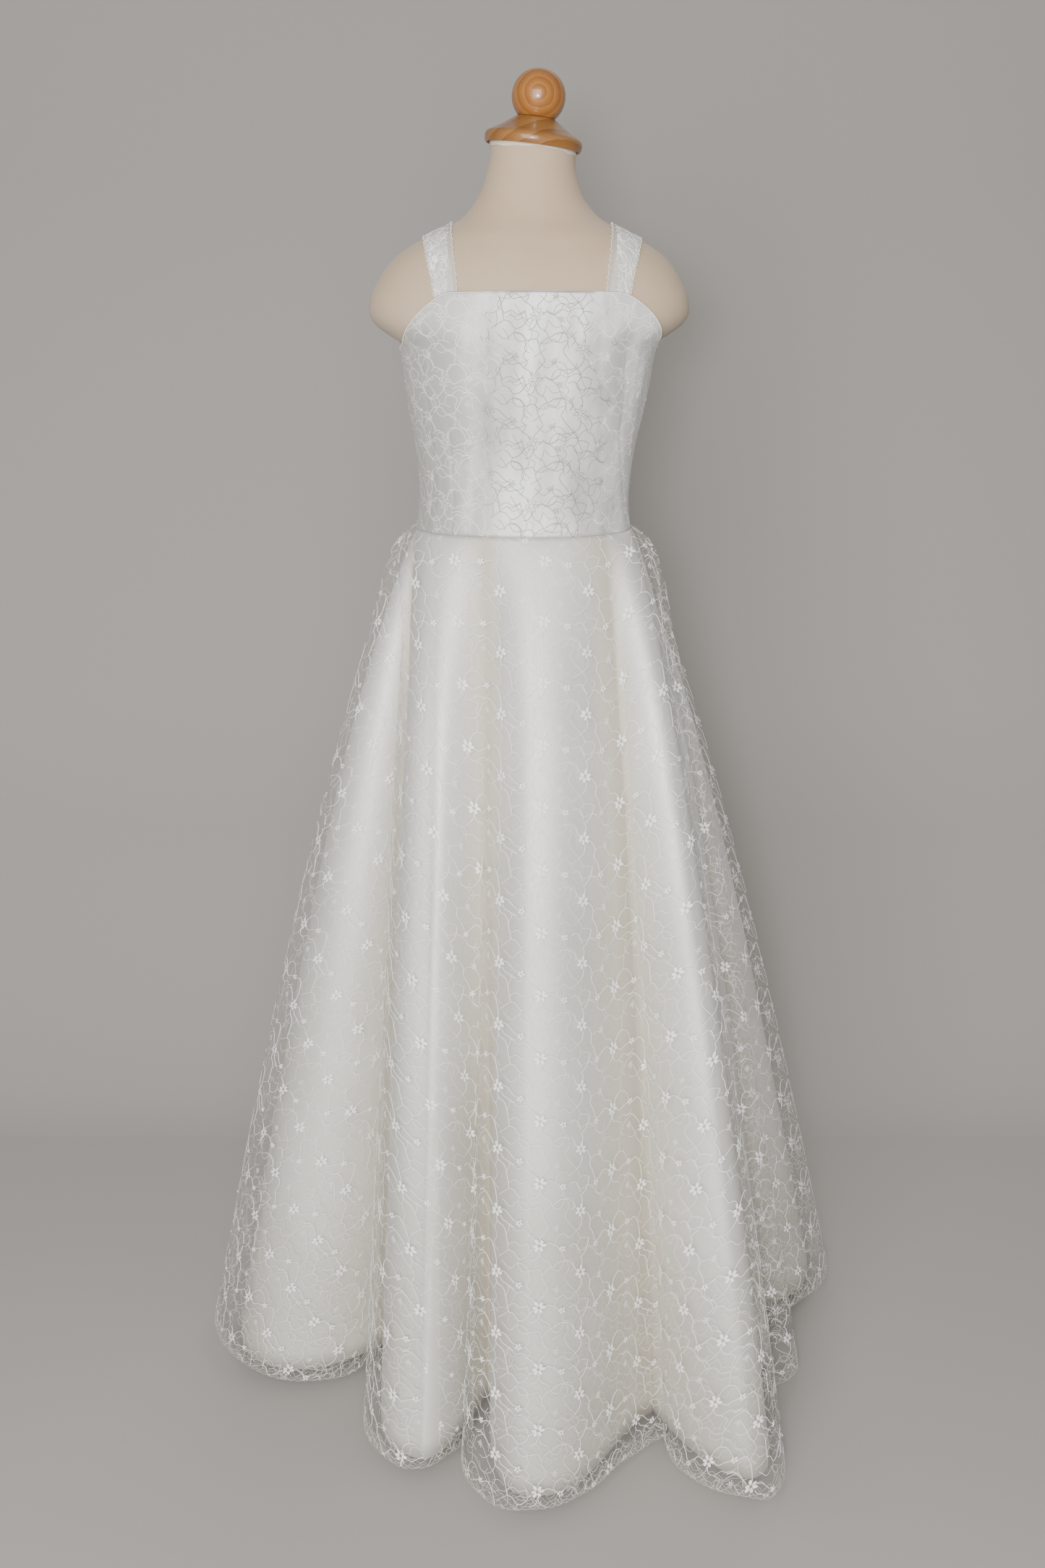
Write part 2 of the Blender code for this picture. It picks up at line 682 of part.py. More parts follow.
def make_pull_tab(hinge):
    """Model the pull tab: a round bar in the arch, two rails and a drop plate."""
    plate = bmesh.new()
    half = TAB_HALF_WIDTH
    drop = [(half, 0.0)]
    for step in range(TAB_ROUNDING_STEPS + 1):
        turn = -pi * step / TAB_ROUNDING_STEPS
        drop.append((half * cos(turn), -TAB_LENGTH + half + half * sin(turn)))
    drop.append((-half, 0.0))
    window = [
        (-TAB_WINDOW_HALF, 0.0),
        (-TAB_WINDOW_HALF, -TAB_WINDOW_LENGTH),
        (TAB_WINDOW_HALF, -TAB_WINDOW_LENGTH),
        (TAB_WINDOW_HALF, 0.0),
    ]
    outline = drop + window
    low = [plate.verts.new((x, -TAB_HALF_THICKNESS, z)) for x, z in outline]
    high = [plate.verts.new((x, TAB_HALF_THICKNESS, z)) for x, z in outline]
    plate.faces.new(low)
    plate.faces.new(high)
    for here, there in zip(range(len(outline)), [*range(1, len(outline)), 0]):
        plate.faces.new((low[here], low[there], high[there], high[here]))
    tab = add_object("zip_pull_tab", plate, "zip_metal")
    tab.location = hinge
    bar_shape = bmesh.new()
    bmesh.ops.create_cone(
        bar_shape,
        cap_ends=True,
        segments=12,
        radius1=TAB_BAR_RADIUS,
        radius2=TAB_BAR_RADIUS,
        depth=2.0 * TAB_HALF_WIDTH,
        matrix=Matrix.Rotation(pi / 2.0, 4, "Y"),
    )
    bar = add_object("zip_pull_bar", bar_shape, "zip_metal")
    bar.parent = tab
    bar.hide_render = True
    bar.display_type = "WIRE"
    union = tab.modifiers.new("bar", "BOOLEAN")
    union.operation = "UNION"
    union.object = bar


def main():
    """Build the form, its stand, the dress and its zip."""
    clear_scene()
    torso = make_torso()
    make_neck_cap()
    make_finial()
    make_stand()
    make_bodice()
    make_straps(torso)
    make_skirt(
        "skirt_", SATIN_FLUTES, SATIN_ROWS, SATIN_WAIST_OFFSET, SATIN_HEM,
        SATIN_WALL, "ivory_satin", False,
    )
    make_skirt(
        "overskirt_", NET_FLUTES, NET_ROWS, NET_WAIST_OFFSET, NET_HEM,
        NET_WALL, "embroidered_net", True,
    )
    hinge = make_slider(lean_x(SLIDER_Z))
    make_pull_tab(hinge)


main()
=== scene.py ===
"""Looks of the flower girl dress on its limbless child's form.

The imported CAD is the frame: metres, +Z up, the front of the dress faces -Y, and left
and right are the viewer's, at -X and +X. Angles around the body are in degrees in plan
from the front, positive towards +X. Flat pattern sizes are in millimetres.
"""

import logging
from collections.abc import Callable, Sequence
from dataclasses import dataclass, field
from enum import Enum
from functools import partial
from math import cos, pi, radians, sin, tan
from typing import ClassVar

import bpy
import numpy as np
from mathutils import Matrix, Vector
from mathutils.bvhtree import BVHTree


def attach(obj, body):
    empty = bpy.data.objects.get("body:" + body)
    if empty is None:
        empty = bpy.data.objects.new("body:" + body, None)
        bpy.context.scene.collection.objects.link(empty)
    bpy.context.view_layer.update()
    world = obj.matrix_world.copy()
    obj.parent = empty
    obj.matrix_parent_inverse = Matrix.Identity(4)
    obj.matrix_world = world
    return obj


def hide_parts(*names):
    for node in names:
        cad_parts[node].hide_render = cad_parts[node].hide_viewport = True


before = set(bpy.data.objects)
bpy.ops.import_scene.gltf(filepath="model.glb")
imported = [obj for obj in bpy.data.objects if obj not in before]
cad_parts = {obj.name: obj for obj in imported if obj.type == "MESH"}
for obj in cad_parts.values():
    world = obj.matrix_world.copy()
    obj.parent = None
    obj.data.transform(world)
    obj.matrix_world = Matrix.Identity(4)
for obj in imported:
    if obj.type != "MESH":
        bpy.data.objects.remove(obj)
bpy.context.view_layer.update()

LOG = logging.getLogger("dress")
MM = 0.001
BODY = "dressed_form"

# Heights and clearances that the CAD uses
WAIST_SEAM = 0.8385
SKIRT_TOP = 0.8382
BACK_NECKLINE = 1.036
NECK_TOP = 1.1745
SLANT_FROM = 1.113
NECK_SLANT = radians(7)
SATIN_HEM = 0.0195
NET_HEM = 0.012
SATIN_WAIST_OFFSET = 0.0030
NET_WAIST_OFFSET = 0.0046

# A direction that no cord runs along
CORD_ASIDE = (0.13, 0.27, 0.95)


def blend(low, high, share):
    """Return the value that lies the given share of the way from low to high."""
    return low + (high - low) * share


def smooth_step(low: float, high: float, at: np.ndarray) -> np.ndarray:
    """Return 0 below low and 1 above high, with an even curve between them."""
    share = np.clip((at - low) / (high - low), 0.0, 1.0)
    return share * share * (3.0 - 2.0 * share)


def smooth_table(keys: np.ndarray, values: np.ndarray, at: np.ndarray) -> np.ndarray:
    """Interpolate a table with a curve that never passes its rows' values.

    Args:
        keys: Rising keys.
        values: The value at each key.
        at: Where to read the table.

    Returns:
        The values read, in the shape of at.
    """
    steps = np.diff(keys)
    rises = np.diff(values) / steps
    slopes = np.zeros(len(keys))
    same = rises[:-1] * rises[1:] > 0.0
    harmonic = 2.0 * rises[:-1] * rises[1:] / np.where(same, rises[:-1] + rises[1:], 1.0)
    slopes[1:-1] = np.where(same, harmonic, 0.0)
    slopes[0], slopes[-1] = rises[0], rises[-1]
    place = np.clip(np.searchsorted(keys, at, side="right") - 1, 0, len(keys) - 2)
    step = steps[place]
    s = np.clip((at - keys[place]) / step, 0.0, 1.0)
    start = (1.0 + 2.0 * s) * (1.0 - s) ** 2 * values[place]
    start += s * (1.0 - s) ** 2 * step * slopes[place]
    end = s * s * (3.0 - 2.0 * s) * values[place + 1]
    end += s * s * (s - 1.0) * step * slopes[place + 1]
    return start + end


class BodyForm:
    """The torso's own surface, which the bodice, straps and waist follow."""

    # Height, half width, half depth, squareness
    SECTIONS = np.array([
        (0.6550, 0.0800, 0.0620, 2.0),
        (0.6640, 0.0960, 0.0760, 2.0),
        (0.7000, 0.1030, 0.0830, 2.1),
        (0.7500, 0.1030, 0.0830, 2.2),
        (0.8000, 0.0985, 0.0790, 2.2),
        (0.8385, 0.0960, 0.0760, 2.2),
        (0.8650, 0.0944, 0.0745, 2.2),
        (0.8900, 0.0956, 0.0755, 2.2),
        (0.9140, 0.0985, 0.0775, 2.2),
        (0.9430, 0.1043, 0.0800, 2.2),
        (0.9700, 0.1090, 0.0818, 2.2),
        (0.9900, 0.1114, 0.0822, 2.2),
        (1.0030, 0.1140, 0.0815, 2.2),
        (1.0125, 0.1275, 0.0800, 2.2),
        (1.0215, 0.1395, 0.0785, 2.2),
        (1.0320, 0.1450, 0.0770, 2.2),
        (1.0450, 0.1435, 0.0755, 2.2),
        (1.0565, 0.1385, 0.0735, 2.2),
        (1.0690, 0.1305, 0.0700, 2.2),
        (1.0800, 0.1205, 0.0655, 2.2),
        (1.0895, 0.1060, 0.0605, 2.2),
        (1.0980, 0.0900, 0.0560, 2.2),
        (1.1045, 0.0760, 0.0515, 2.1),
        (1.1110, 0.0635, 0.0475, 2.1),
        (1.1200, 0.0545, 0.0440, 2.0),
        (1.1325, 0.0460, 0.0410, 2.0),
        (1.1465, 0.0410, 0.0390, 2.0),
        (1.1600, 0.0380, 0.0371, 2.0),
        (1.1745, 0.0374, 0.0366, 2.0),
    ])

    @staticmethod
    def lean(z: np.ndarray) -> np.ndarray:
        """Return the form's centre line at a height."""
        return -0.004 + 0.025 * np.maximum(0.0, np.asarray(z) - 0.84)

    @classmethod
    def radius(cls, z: np.ndarray, angle: np.ndarray) -> np.ndarray:
        """Return the form's radius at a height, in the plan direction of an angle."""
        keys = cls.SECTIONS[:, 0]
        width, depth, power = (smooth_table(keys, cls.SECTIONS[:, k], z) for k in (1, 2, 3))
        turn = np.radians(angle)
        across = (np.abs(np.sin(turn)) / width) ** power
        along = (np.abs(np.cos(turn)) / depth) ** power
        return (across + along) ** (-1.0 / power)

    @classmethod
    def point(cls, z: np.ndarray, angle: np.ndarray, offset: np.ndarray) -> np.ndarray:
        """Return the points that lie an offset outside the form."""
        z, angle, offset = np.broadcast_arrays(
            np.asarray(z, float), np.asarray(angle, float), np.asarray(offset, float)
        )
        radius = cls.radius(z, angle) + offset
        turn = np.radians(angle)
        return np.stack((cls.lean(z) + radius * np.sin(turn), -radius * np.cos(turn), z), -1)


@dataclass(frozen=True)
class Flute:
    """One flute of a skirt: the valley on its left, its crest and how its flanks swell."""

    valley_waist: float
    valley_hem: float
    valley_radius: float
    crest_waist: float
    crest_hem: float
    crest_radius: float
    left_swell: float
    right_swell: float
    columns: int


@dataclass(frozen=True)
class Crease:
    """A soft ridge or trough that runs down a skirt.

    Place and end_place count flutes from the skirt's first valley, so 2.5 is the third
    crest. Top and bottom are depths from 0 at the waist to 1 at the hem. Width is in
    flutes and rise in millimetres, negative for a trough.
    """

    place: float
    end_place: float
    top: float
    bottom: float
    width: float
    rise: float


NET_FLUTES = (
    Flute(-122.0, -118.0, 0.232, -105.0, -82.0, 0.331, 5.0, 13.5, 16),
    Flute(-88.0, -56.0, 0.185, -55.0, -23.0, 0.298, 1.0, 2.4, 16),
    Flute(-25.0, -13.3, 0.226, 8.0, 0.0, 0.331, 5.8, -0.8, 16),
    Flute(50.0, 29.5, 0.262, 70.0, 34.5, 0.381, 5.0, 2.6, 16),
    Flute(86.0, 52.0, 0.262, 94.0, 64.0, 0.300, 1.0, 2.0, 8),
    Flute(104.0, 76.0, 0.247, 118.0, 106.0, 0.345, 3.0, 2.0, 16),
    Flute(131.0, 126.0, 0.262, 143.0, 139.0, 0.340, 1.5, 1.5, 12),
    Flute(155.0, 153.0, 0.250, 168.0, 167.0, 0.352, 2.0, 2.0, 12),
    Flute(180.0, 180.0, 0.246, 193.0, 195.0, 0.350, 2.0, 1.5, 12),
    Flute(206.0, 209.0, 0.252, 221.0, 225.0, 0.342, 2.0, 2.0, 12),
)
SATIN_FLUTES = (
    Flute(-122.0, -118.0, 0.208, -105.0, -72.0, 0.306, 4.0, 8.0, 12),
    Flute(-88.0, -57.5, 0.160, -55.0, -20.5, 0.2915, -2.3, 0.5, 14),
    Flute(-24.0, -11.5, 0.185, 9.0, 0.5, 0.320, 2.0, -2.2, 14),
    Flute(50.0, 30.6, 0.236, 69.0, 35.0, 0.361, 2.2, 1.2, 12),
    Flute(86.0, 50.5, 0.240, 94.0, 63.0, 0.272, 1.0, 2.0, 8),
    Flute(104.0, 76.0, 0.226, 118.0, 103.0, 0.316, 2.0, 2.0, 12),
    Flute(131.0, 126.0, 0.238, 143.0, 139.0, 0.314, 1.0, 1.0, 8),
    Flute(155.0, 153.0, 0.228, 168.0, 167.0, 0.326, 1.0, 1.0, 8),
    Flute(180.0, 180.0, 0.224, 193.0, 195.0, 0.324, 1.0, 1.0, 8),
    Flute(206.0, 209.0, 0.230, 221.0, 225.0, 0.316, 1.0, 1.0, 8),
)


class Panel(Enum):
    """A skirt's panels, with the first and last valley of each."""

    FRONT = ("front", 1, 4)
    BACK_RIGHT = ("back_right", 4, 8)
    BACK_LEFT = ("back_left", 8, 11)

    @property
    def label(self) -> str:
        """Return the end of the panel's node names."""
        return self.value[0]

    @property
    def flutes(self) -> range:
        """Return the numbers of the panel's flutes."""
        return range(self.value[1], self.value[2])


def unit(vectors: np.ndarray) -> np.ndarray:
    """Return vectors at unit length."""
    return vectors / np.maximum(np.linalg.norm(vectors, axis=-1, keepdims=True), 1e-12)


def surface_normals(points: np.ndarray) -> np.ndarray:
    """Return the outward unit normals of a grid whose rows run down and columns to +X."""
    return unit(np.cross(np.gradient(points, axis=1), -np.gradient(points, axis=0)))


@dataclass
class SkirtForm:
    """A whole skirt's surface, as the CAD builds it, at any fineness."""

    flutes: Sequence[Flute]
    waist_offset: float
    hem_z: float
    gathered: bool
    fineness: int
    rows: int
    creases: Sequence[Crease] = ()
    hem_wander: float = 0.0
    crest_power: float = 1.0
    flare_front: float = 0.80
    flare_side: float = 0.72
    row_power: float = 1.3
    bow_power: float = 1.5
    gather_columns: float = 4.0
    gather_from: float = 52.0
    gather_over: float = 20.0
    gather_depth: float = 0.0035
    gather_fade: float = 0.14
    puff_depth: float = 0.011
    puff_peak: float = 0.035
    # The shares of a crease's length over which it rises and fades
    crease_rise: float = 0.25
    crease_fade: float = 0.45

    def columns(self, panel: Panel) -> tuple[np.ndarray, ...]:
        """Return each column's waist angle, hem angle, hem radius, phase and place."""
        parts = []
        numbers = list(panel.flutes)
        for number in numbers:
            flute = self.flutes[number % len(self.flutes)]
            after = self.flutes[(number + 1) % len(self.flutes)]
            turn = 360.0 if (number + 1) % len(self.flutes) == 0 else 0.0
            steps = flute.columns * self.fineness
            share = np.arange(steps + (number == numbers[-1])) / steps
            along = 2.0 * share - 1.0
            away = np.abs(along)
            left = along < 0.0
            valley_hem = np.where(left, flute.valley_hem, after.valley_hem + turn)
            valley_waist = np.where(left, flute.valley_waist, after.valley_waist + turn)
            valley_radius = np.where(left, flute.valley_radius, after.valley_radius)
            swell = np.where(left, flute.left_swell, flute.right_swell)
            bow = swell * np.clip(np.sin(pi * away), 0.0, 1.0) ** self.bow_power
            reach = np.abs(valley_hem - flute.crest_hem) * away + bow
            hem_angle = flute.crest_hem + np.where(left, -1.0, 1.0) * reach
            waist_angle = blend(flute.crest_waist, valley_waist, away)
            rise = 1.0 - ((1.0 - np.cos(pi * away)) / 2.0) ** self.crest_power
            radius = blend(valley_radius, flute.crest_radius, rise)
            phase = share * flute.columns
            parts.append((waist_angle, hem_angle, radius, phase, number + share))
        return tuple(np.concatenate(column) for column in zip(*parts))

    def surface(self, panel: Panel) -> tuple[np.ndarray, np.ndarray]:
        """Return a panel's grid of points, rows from the waist down, and its normals.

        Args:
            panel: The panel to make.

        Returns:
            The points and their outward unit normals, rows by columns by three.
        """
        waist_angle, hem_angle, radius, phase, place = self.columns(panel)
        depth = np.linspace(0.0, 1.0, self.rows + 1)[:, None] ** self.row_power
        turn, side = np.radians(hem_angle), np.radians(waist_angle)
        waist = BodyForm.point(SKIRT_TOP, waist_angle, self.waist_offset)
        hem_x, hem_y = radius * np.sin(turn), -radius * np.cos(turn)
        share = depth ** blend(self.flare_front, self.flare_side, np.sin(side) ** 2)
        x = blend(waist[:, 0], hem_x, share)
        y = blend(waist[:, 1], hem_y, share)
        hem_z = self.hem_z + self.hem_wander * self.wander(place)
        z = blend(SKIRT_TOP, hem_z, depth)
        if self.gathered:
            around = np.abs((waist_angle + 180.0) % 360.0 - 180.0)
            strength = np.clip((around - self.gather_from) / self.gather_over, 0.0, 1.0)
            fade = np.clip(1.0 - depth / self.gather_fade, 0.0, 1.0) ** 2
            wave = (1.0 - np.cos(2.0 * pi * phase / self.gather_columns)) / 2.0
            rise = depth / self.puff_peak * np.exp(1.0 - depth / self.puff_peak)
            out = self.gather_depth * fade * wave * strength
            out = out + self.puff_depth * rise * np.abs(np.sin(side)) ** 3
            x, y = x + out * np.sin(side), y - out * np.cos(side)
        points = np.stack((x, y, np.broadcast_to(z, x.shape)), -1)
        push = self.crease_push(place, depth)
        if push is not None:
            points = points + surface_normals(points) * push[..., None]
        return points, surface_normals(points)

    @staticmethod
    def wander(place: np.ndarray) -> np.ndarray:
        """Return an uneven wave from -1 to 1 around the hem."""
        return 0.5 * np.sin(place * 9.7 + 0.6) + 0.3 * np.sin(place * 23.0) + 0.2 * np.sin(place * 41.0)

    def crease_push(self, place: np.ndarray, depth: np.ndarray) -> np.ndarray | None:
        """Return how far the creases push each point out, or None without creases."""
        total = None
        count = len(self.flutes)
        for crease in self.creases:
            length = crease.bottom - crease.top
            share = np.clip((depth - crease.top) / length, 0.0, 1.0)
            centre = blend(crease.place, crease.end_place, share)
            off = (place[None, :] - centre + count / 2.0) % count - count / 2.0
            bell = np.exp(-((off / crease.width) ** 2))
            ends = smooth_step(crease.top, crease.top + self.crease_rise * length, depth)
            fade_from = crease.bottom - self.crease_fade * length
            ends = ends * (1.0 - smooth_step(fade_from, crease.bottom, depth))
            push = crease.rise * MM * bell * ends
            total = push if total is None else total + push
        return total


def make_mesh(
    name: str,
    vertices: np.ndarray,
    quads: np.ndarray,
    triangles: np.ndarray | None = None,
    uv: np.ndarray | None = None,
    marks: np.ndarray | None = None,
) -> bpy.types.Object:
    """Make a smooth shaded object from arrays.

    Args:
        name: The object's name.
        vertices: Points, n by 3.
        quads: Vertex numbers, n by 4.
        triangles: Vertex numbers, n by 3.
        uv: A flat place for each vertex, n by 2, in metres.
        marks: Each vertex's way from its crest to a valley and its depth, n by 2, from 0 to 1.

    Returns:
        The new object, linked to the scene.
    """
    triangles = np.zeros((0, 3), int) if triangles is None else triangles
    loops = np.concatenate((quads.ravel(), triangles.ravel())).astype(np.int32)
    starts = np.concatenate((
        np.arange(len(quads)) * 4, len(quads) * 4 + np.arange(len(triangles)) * 3,
    )).astype(np.int32)
    mesh = bpy.data.meshes.new(name)
    mesh.vertices.add(len(vertices))
    mesh.vertices.foreach_set("co", np.asarray(vertices, np.float32).ravel())
    mesh.loops.add(len(loops))
    mesh.loops.foreach_set("vertex_index", loops)
    mesh.polygons.add(len(starts))
    mesh.polygons.foreach_set("loop_start", starts)
    mesh.update(calc_edges=True)
    for label, values in (("pattern", uv), ("flute", marks)):
        if values is not None:
            layer = mesh.uv_layers.new(name=label)
            layer.data.foreach_set("uv", np.asarray(values, np.float32)[loops].ravel())
            mesh.uv_layers.active_index = 0
    mesh.validate()
    mesh.shade_smooth()
    made = bpy.data.objects.new(name, mesh)
    bpy.context.scene.collection.objects.link(made)
    return made


def grid_quads(rows: int, columns: int, start: int = 0, outward: bool = True) -> np.ndarray:
    """Return the quads of a grid of vertices, rows running down and columns to +X."""
    index = np.arange(rows * columns).reshape(rows, columns) + start
    corners = (index[1:, :-1], index[1:, 1:], index[:-1, 1:], index[:-1, :-1])
    quads = np.stack([corner.ravel() for corner in corners], -1)
    return quads if outward else quads[:, ::-1]


def ring_quads(rings: int, sides: int) -> np.ndarray:
    """Return the quads between closed rings of vertices, one ring after the other."""
    index = np.arange(rings * sides).reshape(rings, sides)
    after = np.roll(index, -1, axis=1)
    return np.stack([k.ravel() for k in (index[:-1], after[:-1], after[1:], index[1:])], -1)


def rim_quads(rows: int, columns: int) -> np.ndarray:
    """Return the quads that close the edges between an outer and an inner grid."""
    outer = np.arange(rows * columns).reshape(rows, columns)
    strips = []
    for line in (outer[0], outer[-1][::-1], outer[::-1, 0], outer[:, -1]):
        back = line + rows * columns
        strips.append(np.stack((line[:-1], line[1:], back[1:], back[:-1]), -1))
    return np.concatenate(strips)


def make_cloth(
    name: str,
    points: np.ndarray,
    normals: np.ndarray,
    uv: np.ndarray,
    thickness: float,
    marks: np.ndarray | None = None,
) -> bpy.types.Object:
    """Make a closed shell of cloth around a grid, or one open sheet if it has no thickness."""
    rows, columns = points.shape[:2]
    if thickness <= 0.0:
        flat = points.reshape(-1, 3)
        return make_mesh(name, flat, grid_quads(rows, columns), uv=uv.reshape(-1, 2))
    outer = (points + normals * (thickness / 2.0)).reshape(-1, 3)
    inner = (points - normals * (thickness / 2.0)).reshape(-1, 3)
    quads = np.concatenate((
        grid_quads(rows, columns),
        grid_quads(rows, columns, rows * columns, outward=False),
        rim_quads(rows, columns),
    ))
    flat_uv = np.concatenate((uv.reshape(-1, 2), uv.reshape(-1, 2)))
    both = None if marks is None else np.concatenate((marks.reshape(-1, 2), marks.reshape(-1, 2)))
    return make_mesh(name, np.concatenate((outer, inner)), quads, uv=flat_uv, marks=both)


def arc_lengths(points: np.ndarray, axis: int) -> np.ndarray:
    """Return the lengths run along one axis of a grid, from its first line."""
    steps = np.linalg.norm(np.diff(points, axis=axis), axis=-1)
    pad = [(0, 0), (0, 0)]
    pad[axis] = (1, 0)
    return np.pad(np.cumsum(steps, axis=axis), pad)


class FlatMap:
    """Lays flat pattern points, in metres, on a curved grid without stretching them.

    Across runs to +X from a chosen column, and down from the grid's first row, or up
    from its last one.
    """

    STEP = 0.0012

    def __init__(
        self, points: np.ndarray, normals: np.ndarray, column: int, from_hem: bool = False
    ) -> None:
        """Measure a grid and work out where each flat place lies on it."""
        if from_hem:
            points, normals = points[::-1], normals[::-1]
        self.points, self.normals = points, normals
        across = arc_lengths(points, 1)
        across = across - across[:, column : column + 1]
        down = arc_lengths(points, 0)
        self.flat = np.stack((across, down), -1)
        rows, columns = across.shape
        self.low = np.array((across.min(), 0.0))
        self.high = np.array((across.max(), down.max()))
        u = np.arange(self.low[0], self.high[0], self.STEP)
        v = np.arange(self.low[1], self.high[1], self.STEP)
        at_column = np.array([
            np.interp(u, across[r], np.arange(columns), left=np.nan, right=np.nan)
            for r in range(rows)
        ])
        known = np.nan_to_num(at_column)
        whole = np.clip(known.astype(int), 0, columns - 2)
        share = known - whole
        line = np.arange(rows)[:, None]
        run = blend(down[line, whole], down[line, whole + 1], share)
        self.row = np.full((len(v), len(u)), np.nan)
        self.column = np.full((len(v), len(u)), np.nan)
        for j in range(len(u)):
            good = ~np.isnan(at_column[:, j])
            if good.sum() < 2:
                continue
            rising = np.maximum.accumulate(run[good, j])
            self.row[:, j] = np.interp(v, rising, np.arange(rows)[good], np.nan, np.nan)
            self.column[:, j] = np.interp(
                self.row[:, j], np.arange(rows)[good], at_column[good, j], np.nan, np.nan
            )

    @staticmethod
    def _sample(grid: np.ndarray, row: np.ndarray, column: np.ndarray) -> np.ndarray:
        """Read a grid between its points."""
        r = np.clip(row.astype(int), 0, grid.shape[0] - 2)
        c = np.clip(column.astype(int), 0, grid.shape[1] - 2)
        s, t = row - r, column - c
        if grid.ndim == 3:
            s, t = s[:, None], t[:, None]
        top = grid[r, c] * (1.0 - t) + grid[r, c + 1] * t
        low = grid[r + 1, c] * (1.0 - t) + grid[r + 1, c + 1] * t
        return top * (1.0 - s) + low * s

    def lay(self, flat: np.ndarray, height: np.ndarray) -> tuple[np.ndarray, np.ndarray]:
        """Lay flat points on the surface.

        Args:
            flat: Across and down, n by 2.
            height: How far each point stands off the surface.

        Returns:
            The points in space, and which of them lie on the grid.
        """
        place = (flat - self.low) / self.STEP
        size = np.array((self.row.shape[1], self.row.shape[0]))
        inside = np.all((place >= 0.0) & (place < size - 1.001), axis=1)
        place = np.clip(place, 0.0, size - 1.001)
        row = self._sample(self.row, place[:, 1], place[:, 0])
        column = self._sample(self.column, place[:, 1], place[:, 0])
        inside &= ~(np.isnan(row) | np.isnan(column))
        row, column = np.nan_to_num(row), np.nan_to_num(column)
        base = self._sample(self.points, row, column)
        out = self._sample(self.normals, row, column)
        return base + out * height[:, None], inside


